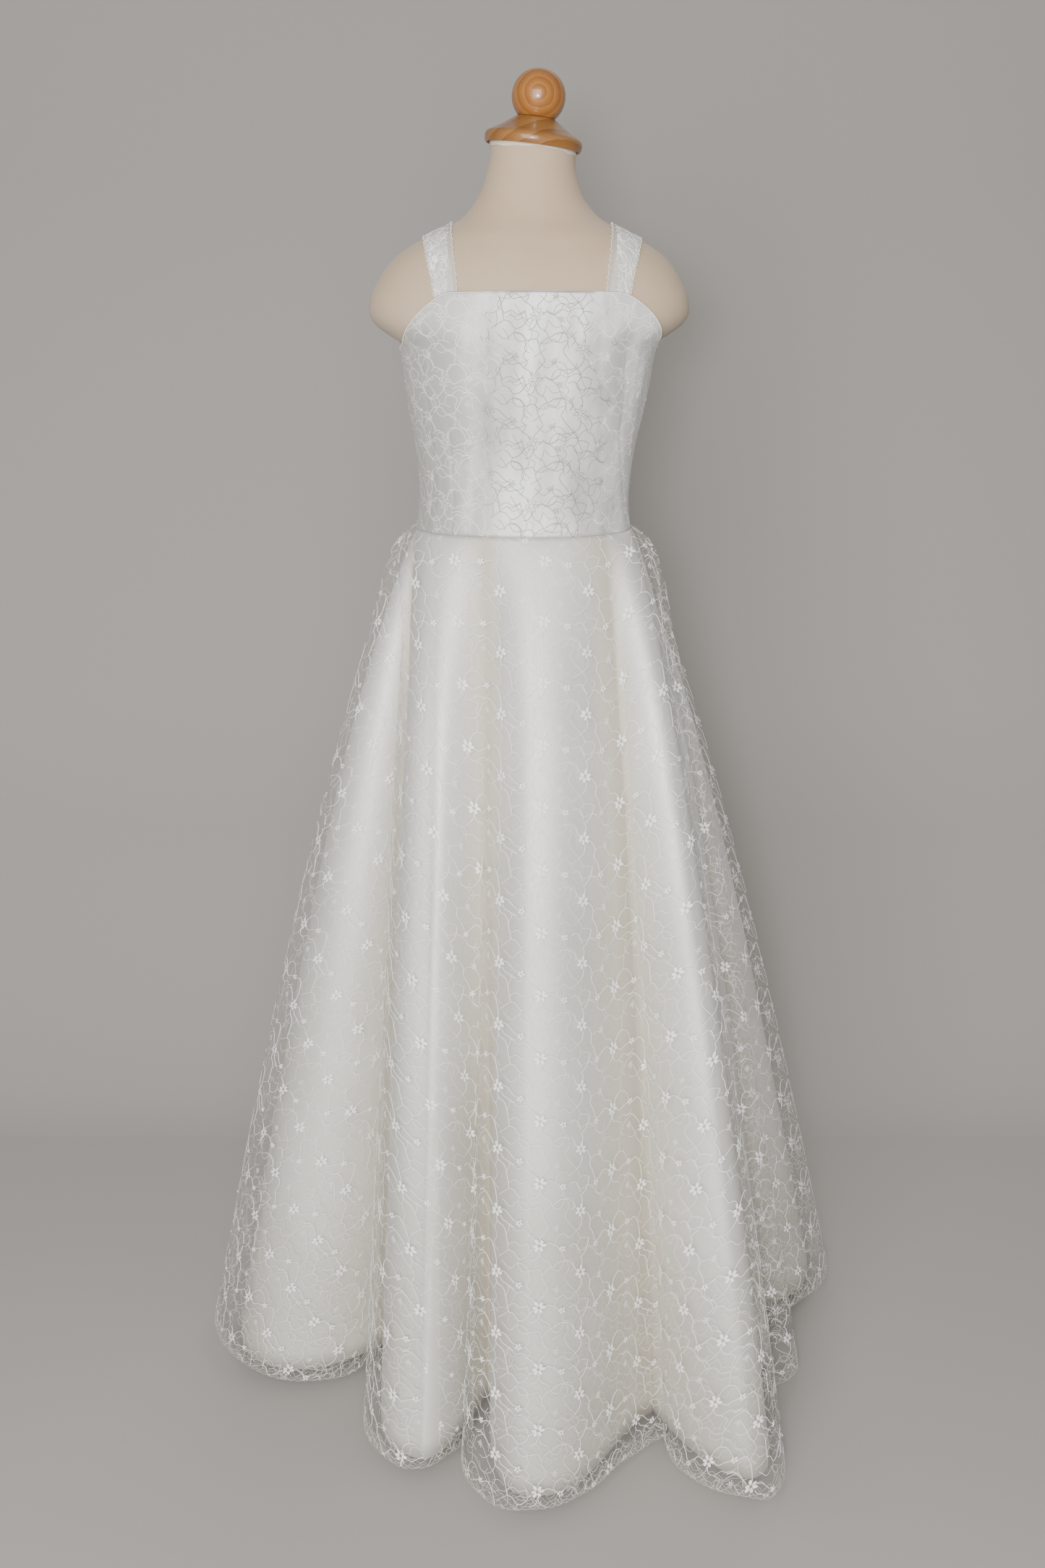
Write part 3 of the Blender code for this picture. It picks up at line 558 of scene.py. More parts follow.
class MaterialTree:
    """Builds one material's nodes, with short ways to add and join them."""

    def __init__(self, name: str) -> None:
        """Start a material with its Principled shader."""
        self.material = bpy.data.materials.new(name)
        self.material.use_nodes = True
        self.nodes = self.material.node_tree.nodes
        self.links = self.material.node_tree.links
        self.shader = self.nodes["Principled BSDF"]

    def add(self, kind: str, inputs: dict | None = None, **settings: object) -> bpy.types.Node:
        """Add a node.

        Args:
            kind: The node's type name, without its ShaderNode prefix.
            inputs: Values or sockets for its inputs, by name or number.
            settings: Values for its own properties.

        Returns:
            The node.
        """
        node = self.nodes.new("ShaderNode" + kind)
        for key, value in settings.items():
            setattr(node, key, value)
        for key, value in (inputs or {}).items():
            self.put(node.inputs[key], value)
        return node

    def put(self, socket: bpy.types.NodeSocket, value: object) -> None:
        """Join an output to a socket, or set the socket's own value."""
        if isinstance(value, bpy.types.NodeSocket):
            self.links.new(value, socket)
        else:
            socket.default_value = value

    def surface(self, inputs: dict) -> bpy.types.Material:
        """Set the shader's inputs and return the material."""
        for key, value in inputs.items():
            self.put(self.shader.inputs[key], value)
        return self.material

    def place(self) -> bpy.types.NodeSocket:
        """Return the object coordinates."""
        return self.add("TexCoord").outputs["Object"]

    def flat(self) -> bpy.types.NodeSocket:
        """Return the flat pattern coordinates, in metres."""
        return self.add("UVMap", uv_map="pattern").outputs["UV"]

    def noise(
        self, vector: bpy.types.NodeSocket, scale: float, detail: float = 2.0, rough: float = 0.5
    ) -> bpy.types.NodeSocket:
        """Return a noise value from 0 to 1."""
        inputs = {"Vector": vector, "Scale": scale, "Detail": detail, "Roughness": rough}
        return self.add("TexNoise", inputs).outputs["Fac"]

    def math(
        self, kind: str, first: object, second: object = 0.0, clamp: bool = False
    ) -> bpy.types.NodeSocket:
        """Return the result of a sum on two values."""
        return self.add("Math", {0: first, 1: second}, operation=kind, use_clamp=clamp).outputs[0]

    def span(
        self, value: object, low: float, high: float, to_low: float = 0.0, to_high: float = 1.0
    ) -> bpy.types.NodeSocket:
        """Return a value moved from one range to another, held at the ends."""
        inputs = {0: value, 1: low, 2: high, 3: to_low, 4: to_high}
        return self.add("MapRange", inputs).outputs[0]

    def mix(self, share: object, low: object, high: object) -> bpy.types.NodeSocket:
        """Return a colour between two colours."""
        node = self.add("Mix", {"Factor": share}, data_type="RGBA")
        self.put(node.inputs[6], low)
        self.put(node.inputs[7], high)
        return node.outputs[2]

    def axes(self, vector: bpy.types.NodeSocket) -> bpy.types.bpy_prop_collection:
        """Return the parts of a coordinate: X, Y and Z."""
        return self.add("SeparateXYZ", {0: vector}).outputs

    def stretched(self, vector: bpy.types.NodeSocket, scale: tuple) -> bpy.types.NodeSocket:
        """Return coordinates scaled by a different factor on each axis."""
        return self.add("Mapping", {"Vector": vector, "Scale": scale}).outputs[0]

    def web(self, vector: bpy.types.NodeSocket, cell: float, width: float) -> bpy.types.NodeSocket:
        """Return 1 on the lines of a crackled web of threads and 0 between them.

        Args:
            vector: Flat coordinates, in metres.
            cell: The size of a mesh of the web, in metres.
            width: The width of its threads, in metres.

        Returns:
            The mask.
        """
        sway = self.add("TexNoise", {"Vector": vector, "Scale": 0.9 / cell, "Detail": 2.0})
        half_grey = (0.5, 0.5, 0.5)
        centred = self.add("VectorMath", {0: sway.outputs["Color"], 1: half_grey}, operation="SUBTRACT")
        small = self.add("VectorMath", {0: centred.outputs[0], "Scale": 0.9 * cell}, operation="SCALE")
        bent = self.add("VectorMath", {0: vector, 1: small.outputs[0]}, operation="ADD")
        cells = self.add(
            "TexVoronoi", {"Vector": bent.outputs[0], "Scale": 1.0 / cell},
            feature="DISTANCE_TO_EDGE", voronoi_dimensions="2D",
        )
        half = width / cell / 2.0
        return self.span(cells.outputs["Distance"], 0.5 * half, 1.5 * half, 1.0, 0.0)

    def bump(
        self, height: bpy.types.NodeSocket, depth: float, strength: float = 1.0
    ) -> bpy.types.NodeSocket:
        """Return a normal bumped by a height from 0 to 1, with a depth in metres."""
        inputs = {"Height": height, "Distance": depth, "Strength": strength}
        return self.add("Bump", inputs).outputs[0]


@dataclass(frozen=True)
class SatinFinish:
    """Ivory satin with a fine weave and a faint random cloudiness, with painted shade: darker and
    creamier towards the hem and in the valleys, darkest at the valley floors.
    """

    light: tuple = (0.86, 0.857, 0.845, 1.0)
    # Deep is random tone plus painted shade towards the hem; the next two colours are the painted shade
    # of the valleys and of their floors
    deep: tuple = (0.60, 0.58, 0.525, 1.0)
    hollow: tuple = (0.60, 0.55, 0.45, 1.0)
    floor: tuple = (0.40, 0.36, 0.29, 1.0)
    roughness: float = 0.66
    lustre: float = 0.50
    sheen: float = 0.10

    def build(self) -> bpy.types.Material:
        """Return the material."""
        m = MaterialTree("satin")
        flat = m.flat()
        cloudy = m.noise(m.place(), 7.0, 3.0)
        slub = m.noise(m.stretched(flat, (900.0, 60.0, 1.0)), 1.0, 2.0)
        weave = m.noise(m.stretched(flat, (1600.0, 1600.0, 1.0)), 1.0, 1.0)
        across, down = m.axes(m.add("UVMap", uv_map="flute").outputs["UV"])[:2]
        patchy = m.span(cloudy, 0.35, 0.65, 0.0, 0.3)
        # Painted shade: darker and creamier towards the hem, over a faint random cloudiness
        tone_and_hem_shade = m.math("ADD", patchy, m.span(down, 0.30, 0.95, 0.0, 0.75), clamp=True)
        crest = m.mix(tone_and_hem_shade, self.light, self.deep)
        # Painted shade in the valleys, darkest at their floors lower on the skirt; the valley share also
        # dulls the sheen
        hollow = m.span(across, 0.46, 0.92)
        valley_floor_shade = m.span(across, 0.82, 0.98)
        colour = m.mix(m.math("MULTIPLY", hollow, 0.85), crest, self.hollow)
        floor_shade_depth = m.span(down, 0.05, 0.5, 0.15, 0.8)
        colour = m.mix(m.math("MULTIPLY", valley_floor_shade, floor_shade_depth), colour, self.floor)
        lustre = m.span(hollow, 0.0, 1.0, self.lustre, 0.1)
        height = m.math("ADD", m.math("MULTIPLY", slub, 0.6), m.math("MULTIPLY", weave, 0.4))
        return m.surface({
            "Base Color": colour,
            "Roughness": m.span(slub, 0.3, 0.7, self.roughness - 0.05, self.roughness + 0.06),
            "Metallic": m.math("MULTIPLY", lustre, m.span(down, 0.45, 0.85, 1.0, 0.5)),
            "Specular IOR Level": m.span(hollow, 0.0, 0.6, 0.5, 0.1),
            "Sheen Weight": self.sheen,
            "Sheen Roughness": 0.5,
            "Normal": m.bump(height, 0.00012),
        })


@dataclass(frozen=True)
class MountedSatinFinish:
    """The bodice's satin under its net, clouded by the mesh, with painted shade: soft slanting wrinkle
    patches and a greyer left side and back.
    """

    ground: tuple = (0.87, 0.87, 0.865, 1.0)
    # Grey of the net's mesh, and also the painted shade of the wrinkles, the left side and the back
    shade: tuple = (0.54, 0.525, 0.495, 1.0)
    roughness: float = 0.56
    lustre: float = 0.40

    def build(self) -> bpy.types.Material:
        """Return the material."""
        m = MaterialTree("mounted_satin")
        flat = m.flat()
        mesh = m.noise(m.stretched(flat, (1300.0, 1300.0, 1.0)), 1.0, 2.0)
        # Painted shade: soft slanting dark patches that stand for the shading of shallow wrinkles
        slanted = m.add(
            "Mapping", {"Vector": flat, "Rotation": (0.0, 0.0, 0.35), "Scale": (30.0, 10.0, 1.0)}
        )
        cloudy = m.noise(slanted.outputs[0], 1.0, 3.0)
        # Painted shade: greyer towards the left side and towards the back
        axes = m.axes(m.place())
        left = m.span(axes[0], -0.085, 0.0, 0.9, 0.0)
        shaded = m.math("MAXIMUM", left, m.span(axes[1], -0.02, 0.03, 0.0, 0.6))
        wrinkle_and_side_shade = m.math("ADD", m.span(cloudy, 0.38, 0.62, 0.0, 0.9), shaded, clamp=True)
        tint = m.mix(wrinkle_and_side_shade, self.ground, self.shade)
        return m.surface({
            "Base Color": m.mix(m.span(mesh, 0.35, 0.7, 0.0, 0.25), tint, self.shade),
            "Roughness": m.span(mesh, 0.3, 0.7, self.roughness, self.roughness + 0.1),
            "Metallic": self.lustre,
            "Sheen Weight": 0.1,
            "Sheen Roughness": 0.4,
            "Normal": m.bump(mesh, 0.00015),
        })


@dataclass(frozen=True)
class NetFinish:
    """Sheer ivory net, plain or with a thin crackled web worked into it.

    A margin makes it sheerer on one side: beyond that many metres across, towards +X,
    or towards -X if it is negative.
    """

    # A dull brownish tint, darker than the net's ivory: partly painted shade of the shaded valleys seen
    # through it
    tint: tuple = (0.56, 0.515, 0.455, 1.0)
    thread: tuple = (0.84, 0.825, 0.79, 1.0)
    cover: float = 0.10
    web_cover: float = 0.12
    margin: float = 0.0
    name: str = "net"
    webbed: bool = False

    def build(self) -> bpy.types.Material:
        """Return the material."""
        m = MaterialTree(self.name)
        flat = m.flat()
        if not self.webbed:
            veil = m.noise(flat, 260.0, 0.0)
            return m.surface({
                "Base Color": self.tint,
                "Roughness": 0.7,
                "Alpha": m.span(veil, 0.35, 0.65, self.cover * 0.8, self.cover * 1.2),
            })
        mesh = m.noise(m.stretched(flat, (700.0, 700.0, 1.0)), 1.0, 2.0)
        web = m.web(flat, 0.0115, 0.0005)
        fine = m.web(flat, 0.0058, 0.00035)
        patchy = m.noise(flat, 45.0, 2.0)
        share = m.math("MULTIPLY", fine, m.span(patchy, 0.45, 0.62, 0.0, 0.6))
        lines = m.math("MAXIMUM", m.math("MULTIPLY", web, 0.8), share, clamp=True)
        ground = m.span(mesh, 0.3, 0.7, self.cover * 0.85, self.cover * 1.15)
        alpha = m.math("ADD", ground, m.math("MULTIPLY", lines, self.web_cover), clamp=True)
        if self.margin:
            across = m.axes(flat)[0]
            side = m.math("MULTIPLY", across, 1.0 if self.margin > 0.0 else -1.0)
            edge = abs(self.margin)
            alpha = m.math("MULTIPLY", alpha, m.span(side, edge, edge + 0.0012, 1.0, 0.45))
        return m.surface({
            "Base Color": m.mix(lines, self.tint, self.thread),
            "Roughness": 0.7,
            "Alpha": alpha,
            "Sheen Weight": 0.2,
            "Normal": m.bump(lines, 0.0002),
        })


@dataclass(frozen=True)
class ThreadFinish:
    """Embroidery thread: matt white, or with painted shade where it says so: dark grey near the front's
    middle, for the threads' small shadows on the bright satin.
    """

    colour: tuple = (0.985, 0.98, 0.97, 1.0)
    shadow: tuple = (0.94, 0.935, 0.92, 1.0)
    name: str = "thread"
    # Painted shade of the threads near the front's middle, or none
    middle: tuple | None = None

    def build(self) -> bpy.types.Material:
        """Return the material."""
        m = MaterialTree(self.name)
        twist = m.noise(m.place(), 900.0, 1.0)
        colour = m.mix(m.span(twist, 0.35, 0.65), self.shadow, self.colour)
        if self.middle is not None:
            # Painted shade: the threads take the middle colour near the front's middle, with a ragged
            # edge, and stay light at the sides and back
            axes = m.axes(m.place())
            ragged = m.span(m.noise(m.place(), 55.0, 3.0), 0.3, 0.7, -0.001, 0.033)
            away = m.math("ABSOLUTE", m.math("SUBTRACT", axes[0], ragged))
            side = m.span(away, 0.043, 0.056)
            side = m.math("ADD", side, m.math("GREATER_THAN", axes[1], 0.0), clamp=True)
            colour = m.mix(side, self.middle, colour)
        return m.surface({
            "Base Color": colour,
            "Roughness": 0.55,
            "Sheen Weight": 0.3,
            "Normal": m.bump(twist, 0.0002),
        })


@dataclass(frozen=True)
class JerseyFinish:
    """Cream jersey stretched over the form, with painted shade: greyer on the underside of the shoulder
    caps.
    """

    light: tuple = (0.515, 0.39, 0.27, 1.0)
    deep: tuple = (0.475, 0.355, 0.24, 1.0)
    # Painted shade under the shoulder caps
    under: tuple = (0.30, 0.255, 0.20, 1.0)

    def build(self) -> bpy.types.Material:
        """Return the material."""
        m = MaterialTree("jersey")
        place = m.place()
        knit = m.noise(m.stretched(place, (1300.0, 1300.0, 500.0)), 1.0, 2.0)
        wear = m.noise(place, 14.0, 4.0, 0.6)
        colour = m.mix(m.span(wear, 0.3, 0.7), self.light, self.deep)
        # Painted shade: greyer under the outer shoulder caps, fading out upwards
        axes = m.axes(place)
        outer = m.span(m.math("ABSOLUTE", axes[0]), 0.100, 0.130)
        under = m.math("MULTIPLY", outer, m.span(axes[2], 1.006, 1.042, 0.85, 0.0))
        colour = m.mix(under, colour, self.under)
        return m.surface({
            "Base Color": colour,
            "Roughness": m.span(knit, 0.3, 0.7, 0.85, 0.98),
            "Sheen Weight": 0.12,
            "Sheen Roughness": 0.6,
            "Normal": m.bump(knit, 0.0002),
        })


@dataclass(frozen=True)
class WoodFinish:
    """Varnished honey wood with growth rings around a level line that runs front to back."""

    heart: tuple = (0.0, 0.0, 0.0)
    light: tuple = (0.43, 0.190, 0.050, 1.0)
    dark: tuple = (0.20, 0.062, 0.010, 1.0)
    pitch: float = 0.0032
    varnish: float = 0.5
    name: str = "wood"

    def build(self) -> bpy.types.Material:
        """Return the material."""
        m = MaterialTree(self.name)
        away = tuple(-c for c in self.heart)
        centred = m.add("Mapping", {"Vector": m.place(), "Location": away}).outputs[0]
        sway = m.noise(centred, 30.0, 3.0)
        rings = m.add(
            "TexWave",
            {"Vector": centred, "Scale": 0.314 / self.pitch / 2.0, "Distortion": 1.6,
             "Detail": 3.0, "Detail Scale": 1.4, "Detail Roughness": 0.6},
            wave_type="RINGS", rings_direction="Y", wave_profile="SAW",
        ).outputs["Fac"]
        pores = m.noise(m.stretched(centred, (900.0, 60.0, 900.0)), 1.0, 2.0)
        mixed = m.math("ADD", m.math("MULTIPLY", rings, 0.55), m.math("MULTIPLY", sway, 0.40), clamp=True)
        ground = m.mix(mixed, self.light, self.dark)
        colour = m.mix(m.span(pores, 0.55, 0.75, 0.0, 0.4), ground, self.dark)
        return m.surface({
            "Base Color": colour,
            "Roughness": m.span(pores, 0.3, 0.8, 0.30, 0.40),
            "Specular IOR Level": 0.3,
            "Coat Weight": self.varnish,
            "Coat Roughness": 0.07,
            "Normal": m.bump(pores, 0.0001, 0.5),
        })


@dataclass(frozen=True)
class MetalFinish:
    """A worn metal or paint, matt in places."""

    name: str
    colour: tuple
    metallic: float
    roughness: float

    def build(self) -> bpy.types.Material:
        """Return the material."""
        m = MaterialTree(self.name)
        worn = m.noise(m.place(), 260.0, 4.0, 0.65)
        dull = tuple(0.8 * c for c in self.colour[:3]) + (1.0,)
        return m.surface({
            "Base Color": m.mix(m.span(worn, 0.4, 0.7), self.colour, dull),
            "Metallic": self.metallic,
            "Roughness": m.span(worn, 0.3, 0.7, self.roughness, self.roughness + 0.15),
        })


@dataclass(frozen=True)
class BeadFinish:
    """Small clear beads, bright where they catch the light."""

    colour: tuple = (0.95, 0.95, 0.96, 1.0)

    def build(self) -> bpy.types.Material:
        """Return the material."""
        m = MaterialTree("bead")
        cloudy = m.noise(m.place(), 700.0, 1.0)
        return m.surface({
            "Base Color": m.mix(m.span(cloudy, 0.4, 0.6, 0.0, 0.4), self.colour, (0.75, 0.76, 0.78, 1.0)),
            "Roughness": 0.08,
            "Specular IOR Level": 0.9,
            "Coat Weight": 1.0,
            "Coat Roughness": 0.03,
        })


@dataclass(frozen=True)
class BackdropFinish:
    """Plain pale grey paper. The sweep is clear from behind, with painted light: paler near the floor,
    and a faint glow above the floor that lifts shadows on it.
    """

    colour: tuple = (0.300, 0.285, 0.269, 1.0)
    low: tuple = (0.378, 0.360, 0.342, 1.0)
    # Strength of the sweep's painted glow, which lifts shadows on it
    glow: float = 0.16
    one_sided: bool = False

    def build(self) -> bpy.types.Material:
        """Return the material."""
        m = MaterialTree("backdrop" if self.one_sided else "floor")
        faint = m.noise(m.place(), 1.5, 2.0)
        deep = tuple(0.98 * c for c in self.low[:3]) + (1.0,)
        inputs = {
            "Base Color": m.mix(m.span(faint, 0.3, 0.7), self.low, deep),
            "Roughness": 0.95,
            "Specular IOR Level": 0.1,
        }
        if self.one_sided:
            height = m.axes(m.place())[2]
            # Painted light: the sweep is paler near the floor, and glows faintly, fully from half a metre
            # up
            inputs["Base Color"] = m.mix(m.span(height, 0.0, 1.2), self.low, self.colour)
            back = m.add("NewGeometry").outputs["Backfacing"]
            inputs["Alpha"] = m.math("SUBTRACT", 1.0, back)
            inputs["Emission Color"] = self.low
            inputs["Emission Strength"] = m.span(height, 0.05, 0.5, 0.0, self.glow)
            m.material.cycles.emission_sampling = "NONE"
        return m.surface(inputs)


def smooth_line(line: Sequence[tuple[float, float]], step: float) -> np.ndarray:
    """Return a line bent smoothly through its points, about one step apart."""
    points = np.array(line, float)
    ends = np.concatenate((2.0 * points[:1] - points[1:2], points, 2.0 * points[-1:] - points[-2:-1]))
    out = []
    for a, b, c, d in zip(ends, ends[1:], ends[2:], ends[3:]):
        count = max(1, round(float(np.linalg.norm(c - b)) / step))
        for s in np.arange(count) / count:
            out.append(0.5 * (2.0 * b + (c - a) * s + (2.0 * a - 5.0 * b + 4.0 * c - d) * s * s
                              + (3.0 * b - a - 3.0 * c + d) * s**3))
    out.append(points[-1])
    return np.array(out)


class FlatShape:
    """Flat embroidery in millimetres, across and down, with a height for each point."""

    def __init__(self) -> None:
        """Start an empty shape."""
        self.points: list[tuple[float, float, float]] = []
        self.quads: list[tuple[int, ...]] = []
        self.triangles: list[tuple[int, ...]] = []

    def ribbon(self, line: np.ndarray, width: float, height: float) -> None:
        """Add a thread along a line: a low ridge, or a flat strip if it has no height."""
        along = unit(np.gradient(line, axis=0))
        aside = np.stack((-along[:, 1], along[:, 0]), -1) * width / 2.0
        start = len(self.points)
        lanes = [(-1.0, 0.12), (0.0, height), (1.0, 0.12)] if height > 0.0 else [(-1.0, 0.2), (1.0, 0.2)]
        for centre, offset in zip(line, aside):
            for side, rise in lanes:
                x, y = centre + offset * side
                self.points.append((x, y, rise))
        n = len(lanes)
        for step in range(len(line) - 1):
            for lane in range(n - 1):
                a = start + step * n + lane
                self.quads.append((a, a + 1, a + n + 1, a + n))

    def petal(self, x: float, y: float, turn: float, length: float, width: float, height: float) -> None:
        """Add a plump petal that starts near a point and runs out at an angle."""
        start = len(self.points)
        ca, sa = cos(turn), sin(turn)
        outline = (
            (0.20, 0.0), (0.32, 0.7), (0.66, 1.0), (0.97, 0.62),
            (0.97, -0.62), (0.66, -1.0), (0.32, -0.7),
        )
        for share, side in outline:
            u, v = share * length, side * width / 2.0
            self.points.append((x + u * ca - v * sa, y + u * sa + v * ca, 0.15))
        mid = 0.62 * length
        self.points.append((x + mid * ca, y + mid * sa, height))
        count = len(outline)
        for step in range(count):
            self.triangles.append((start + step, start + (step + 1) % count, start + count))

    def flower(self, x: float, y: float, turn: float, size: float, petals: int, filled: bool) -> None:
        """Add a flower of petals of uneven length, filled with stitches or outlined."""
        uneven = (1.0, 0.88, 0.96, 0.84, 1.02, 0.9)
        for number in range(petals):
            angle = turn + 2.0 * pi * number / petals + 0.09 * (number % 3 - 1)
            reach = size / 2.0 * uneven[number % 6]
            if filled:
                self.petal(x, y, angle, reach, 1.4 * size / petals, 0.45)
            else:
                turns = 2.0 * pi * np.arange(9) / 8
                along = reach * (0.62 + 0.38 * np.cos(turns))
                aside = 0.23 * size * 2.4 / petals * np.sin(turns)
                loop = np.stack((x + along * cos(angle) - aside * sin(angle),
                                 y + along * sin(angle) + aside * cos(angle)), -1)
                self.ribbon(loop, 0.42, 0.0)

    def burst(self, x: float, y: float, turn: float, size: float) -> None:
        """Add a small star of thin rays."""
        rays = 7
        for number in range(rays):
            angle = turn + 2.0 * pi * number / rays
            reach = size / 2.0 * (1.0 if number % 2 else 0.75)
            tip = (x + reach * cos(angle + 0.25), y + reach * sin(angle + 0.25))
            near = (x + 0.6 * cos(angle), y + 0.6 * sin(angle))
            self.ribbon(smooth_line((near, tip), 2.0), 0.5, 0.35)

    def arrays(self) -> tuple[np.ndarray, np.ndarray, np.ndarray]:
        """Return the points, quads and triangles as arrays."""
        quads = np.array(self.quads, int).reshape(-1, 4)
        triangles = np.array(self.triangles, int).reshape(-1, 3)
        return np.array(self.points, float), quads, triangles


class LaceLayer(Enum):
    """What one layer of embroidery holds: all of it, its outlines, or its web alone."""

    SKIRT = "skirt"
    BODICE = "bodice"
    WEB = "web"


@dataclass(frozen=True)
class LaceRepeat:
    """The net's repeat: four flowers, their florets and the vines that join them.

    Charted in millimetres, across and down. It repeats every width across and
    every height down, and lines that leave it go on in the next repeat.
    """

    width: float = 164.0
    height: float = 55.0
    flowers: tuple = ((0.0, 0.0, 0.3), (41.0, 29.0, 0.0), (82.0, 2.5, 0.7), (123.0, 30.0, 0.15))
    florets: tuple = ((23.0, 9.5, 0.2), (62.5, 33.5, 0.6), (101.0, 36.0, 0.1), (146.5, 28.5, 0.4))
    bursts: tuple = ((146.0, 50.0, 0.2), (57.0, 14.0, 0.5), (106.0, 10.0, 0.9))
    thick: tuple = (
        ((-15, -26), (-8, -28), (-3.5, -22.5), (-0.8, -14), (0.6, -5)),
        ((-23, -14), (-17, -15.5), (-11.5, -12), (-7.5, -7.5), (-4.5, -3.5)),
        ((5, -1.5), (9.5, -0.5), (13.5, 3), (17, 6.5), (20, 8)),
        ((4, 4), (7, 8), (11, 9.5), (14.5, 12.5), (18.5, 12.5)),
        ((-0.5, 6), (1.5, 10.5), (6, 12.5), (9, 16), (10.5, 22), (12, 29), (13, 34)),
        ((13, 34), (18, 35.5), (23, 41), (29, 39), (33, 34), (36.5, 31.5)),
        ((41, 33.5), (40.6, 38), (38, 41), (34, 42)),
        ((41.8, 33.5), (42.3, 38), (44.5, 41)),
        ((41, 24.5), (42.5, 21), (45.5, 18)),
        ((38.5, 25.5), (35.5, 21.5), (31, 19)),
        ((45.8, 28.5), (50, 27), (55, 29), (60, 32.5)),
        ((70, -22.5), (74, -24.5), (78.5, -21.5), (81.5, -14.5)),
        ((81.5, -10.5), (86, -13.5), (90, -19), (92, -26)),
        ((82.5, -10.5), (84, -7.5), (83.3, -2.5)),
        ((54, -7), (60, -10.5), (67, -10), (72.5, -7), (75.5, -2.5), (78, 0.5)),
        ((83.4, 8), (83, 13), (80.5, 17), (77, 19.5)),
        ((87, 4), (91, 7), (94, 13), (93, 19), (97, 25), (100, 33)),
        ((123, 34.5), (123.4, 39), (126, 42), (130, 42.5)),
        ((122.2, 34.5), (121.5, 39), (119, 42)),
        ((122, 25.5), (120, 22), (116, 20)),
        ((118.5, 29.5), (113, 27), (108, 30), (103.5, 34)),
        ((127.8, 30.5), (133, 33), (138, 30.5), (143.5, 29)),
        ((125, 26), (128, 20), (133, 16), (139, 17)),
    )
    thin: tuple = (
        ((-15, -4), (-9.6, 5), (-6.9, 10.5), (-2.3, 15), (0.5, 9.6)),
        ((-2.3, 15), (0.5, 23), (-3, 30), (2.3, 36)),
        ((10.5, 20), (13.3, 14), (14, 10), (20, 16), (27, 15), (31, 19)),
        ((2.3, -14), (7, -17), (11.5, -20), (13, -21)),
        ((6, -11), (9.6, -8), (13.3, -5), (17, -6), (21, -10), (28, -9), (33, -4), (41, -5), (44, 1)),
        ((-5.5, 1.4), (-9.6, 5), (-14, 7), (-19, 5)),
        ((23, 41), (22, 47), (27, 52), (33, 51)),
        ((12, 29), (19, 26), (24, 29), (31, 27)),
        ((31, 27), (33, 34)),
        ((31, -4), (33, 3), (30, 9), (34, 14), (31, 19)),
        ((45, 18), (49, 13), (46, 7), (44, 1), (49, -5), (54, -7)),
        ((55, 29), (58, 22), (64, 20), (69, 24), (77, 19.5)),
        ((62.5, 37), (65, 43), (72, 45), (75, 51), (72, 55)),
        ((44.5, 41), (50, 44), (53, 50), (60, 52), (65, 43)),
        ((67, -10), (69, -3), (65, 4), (69, 11), (77, 19.5)),
        ((77, 19.5), (81, 27), (77, 34), (83, 38), (90, 36), (97, 40)),
        ((94, 13), (101, 11), (108, 14), (112, 20), (116, 20)),
        ((92, 29), (86, 27), (81, 27)),
        ((101, 39), (103, 46), (110, 48), (114, 54), (111, 60)),
        ((119, 42), (115, 46), (110, 48)),
        ((130, 42.5), (136, 46), (134, 53), (140, 58)),
        ((108, 14), (106, 6), (111, 0), (108, -6), (112, -12)),
        ((111, 0), (119, -1), (125, 4), (133, 3), (137, -3)),
        ((133, 16), (134, 9), (133, 3)),
        ((139, 17), (143, 22), (145, 27)),
        ((137, -3), (141, -10), (149, -14)),
        ((130, 42.5), (137, 38), (143, 40), (149, 36)),
        ((90, -19), (97, -17), (101, -10), (108, -6)),
    )
    web: tuple = (
        ((0, 18), (6, 21), (5, 27), (11, 30), (18, 28)),
        ((19, 5), (26, 1), (32, 3), (38, 0), (44, 1)),
        ((22, 22), (29, 21), (33, 25), (39, 20)),
        ((50, 40), (55, 36), (60, 39), (66, 37), (71, 41)),
        ((60, 5), (66, 4), (71, 8), (75, 5)),
        ((50, 20), (54, 17), (60, 17), (64, 20)),
        ((86, 27), (88, 20), (94, 19)),
        ((97, 47), (91, 48), (88, 54), (82, 52), (77, 55)),
        ((113, 10), (118, 8), (125, 4)),
        ((112, 20), (113, 27)),
        ((136, 46), (143, 47), (149, 43), (155, 46), (162, 43)),
        ((141, 8), (147, 6), (151, 10), (157, 8), (162, 13)),
        ((150, 20), (156, 22), (160, 28), (158, 34), (163, 38)),
        ((27, 52), (24, 58), (17, 60), (12, 56)),
        ((40, 46), (38, 52), (33, 51)),
        ((118, 52), (124, 50), (130, 54)),
    )

    def shape(self, layer: LaceLayer) -> FlatShape:
        """Return one repeat of a layer."""
        made = FlatShape()
        if layer is LaceLayer.WEB:
            for line in (*self.web, *self.thin):
                made.ribbon(smooth_line(line, 2.2), 0.42, 0.0)
            return made
        filled = layer is LaceLayer.SKIRT
        flower, vine, vine_rise, hair = (12.6, 0.54, 0.45, 0.34) if filled else (13.5, 0.55, 0.0, 0.5)
        for x, y, turn in self.flowers:
            made.flower(x, y, turn, flower, 6, filled)
        for x, y, turn in self.florets:
            made.flower(x, y, turn, 6.8, 5, filled)
        for x, y, turn in self.bursts:
            made.burst(x, y, turn, 7.5)
        for line in self.thick:
            made.ribbon(smooth_line(line, 1.5), vine, vine_rise)
        for line in self.thin:
            made.ribbon(smooth_line(line, 2.0), hair, 0.0)
        return made


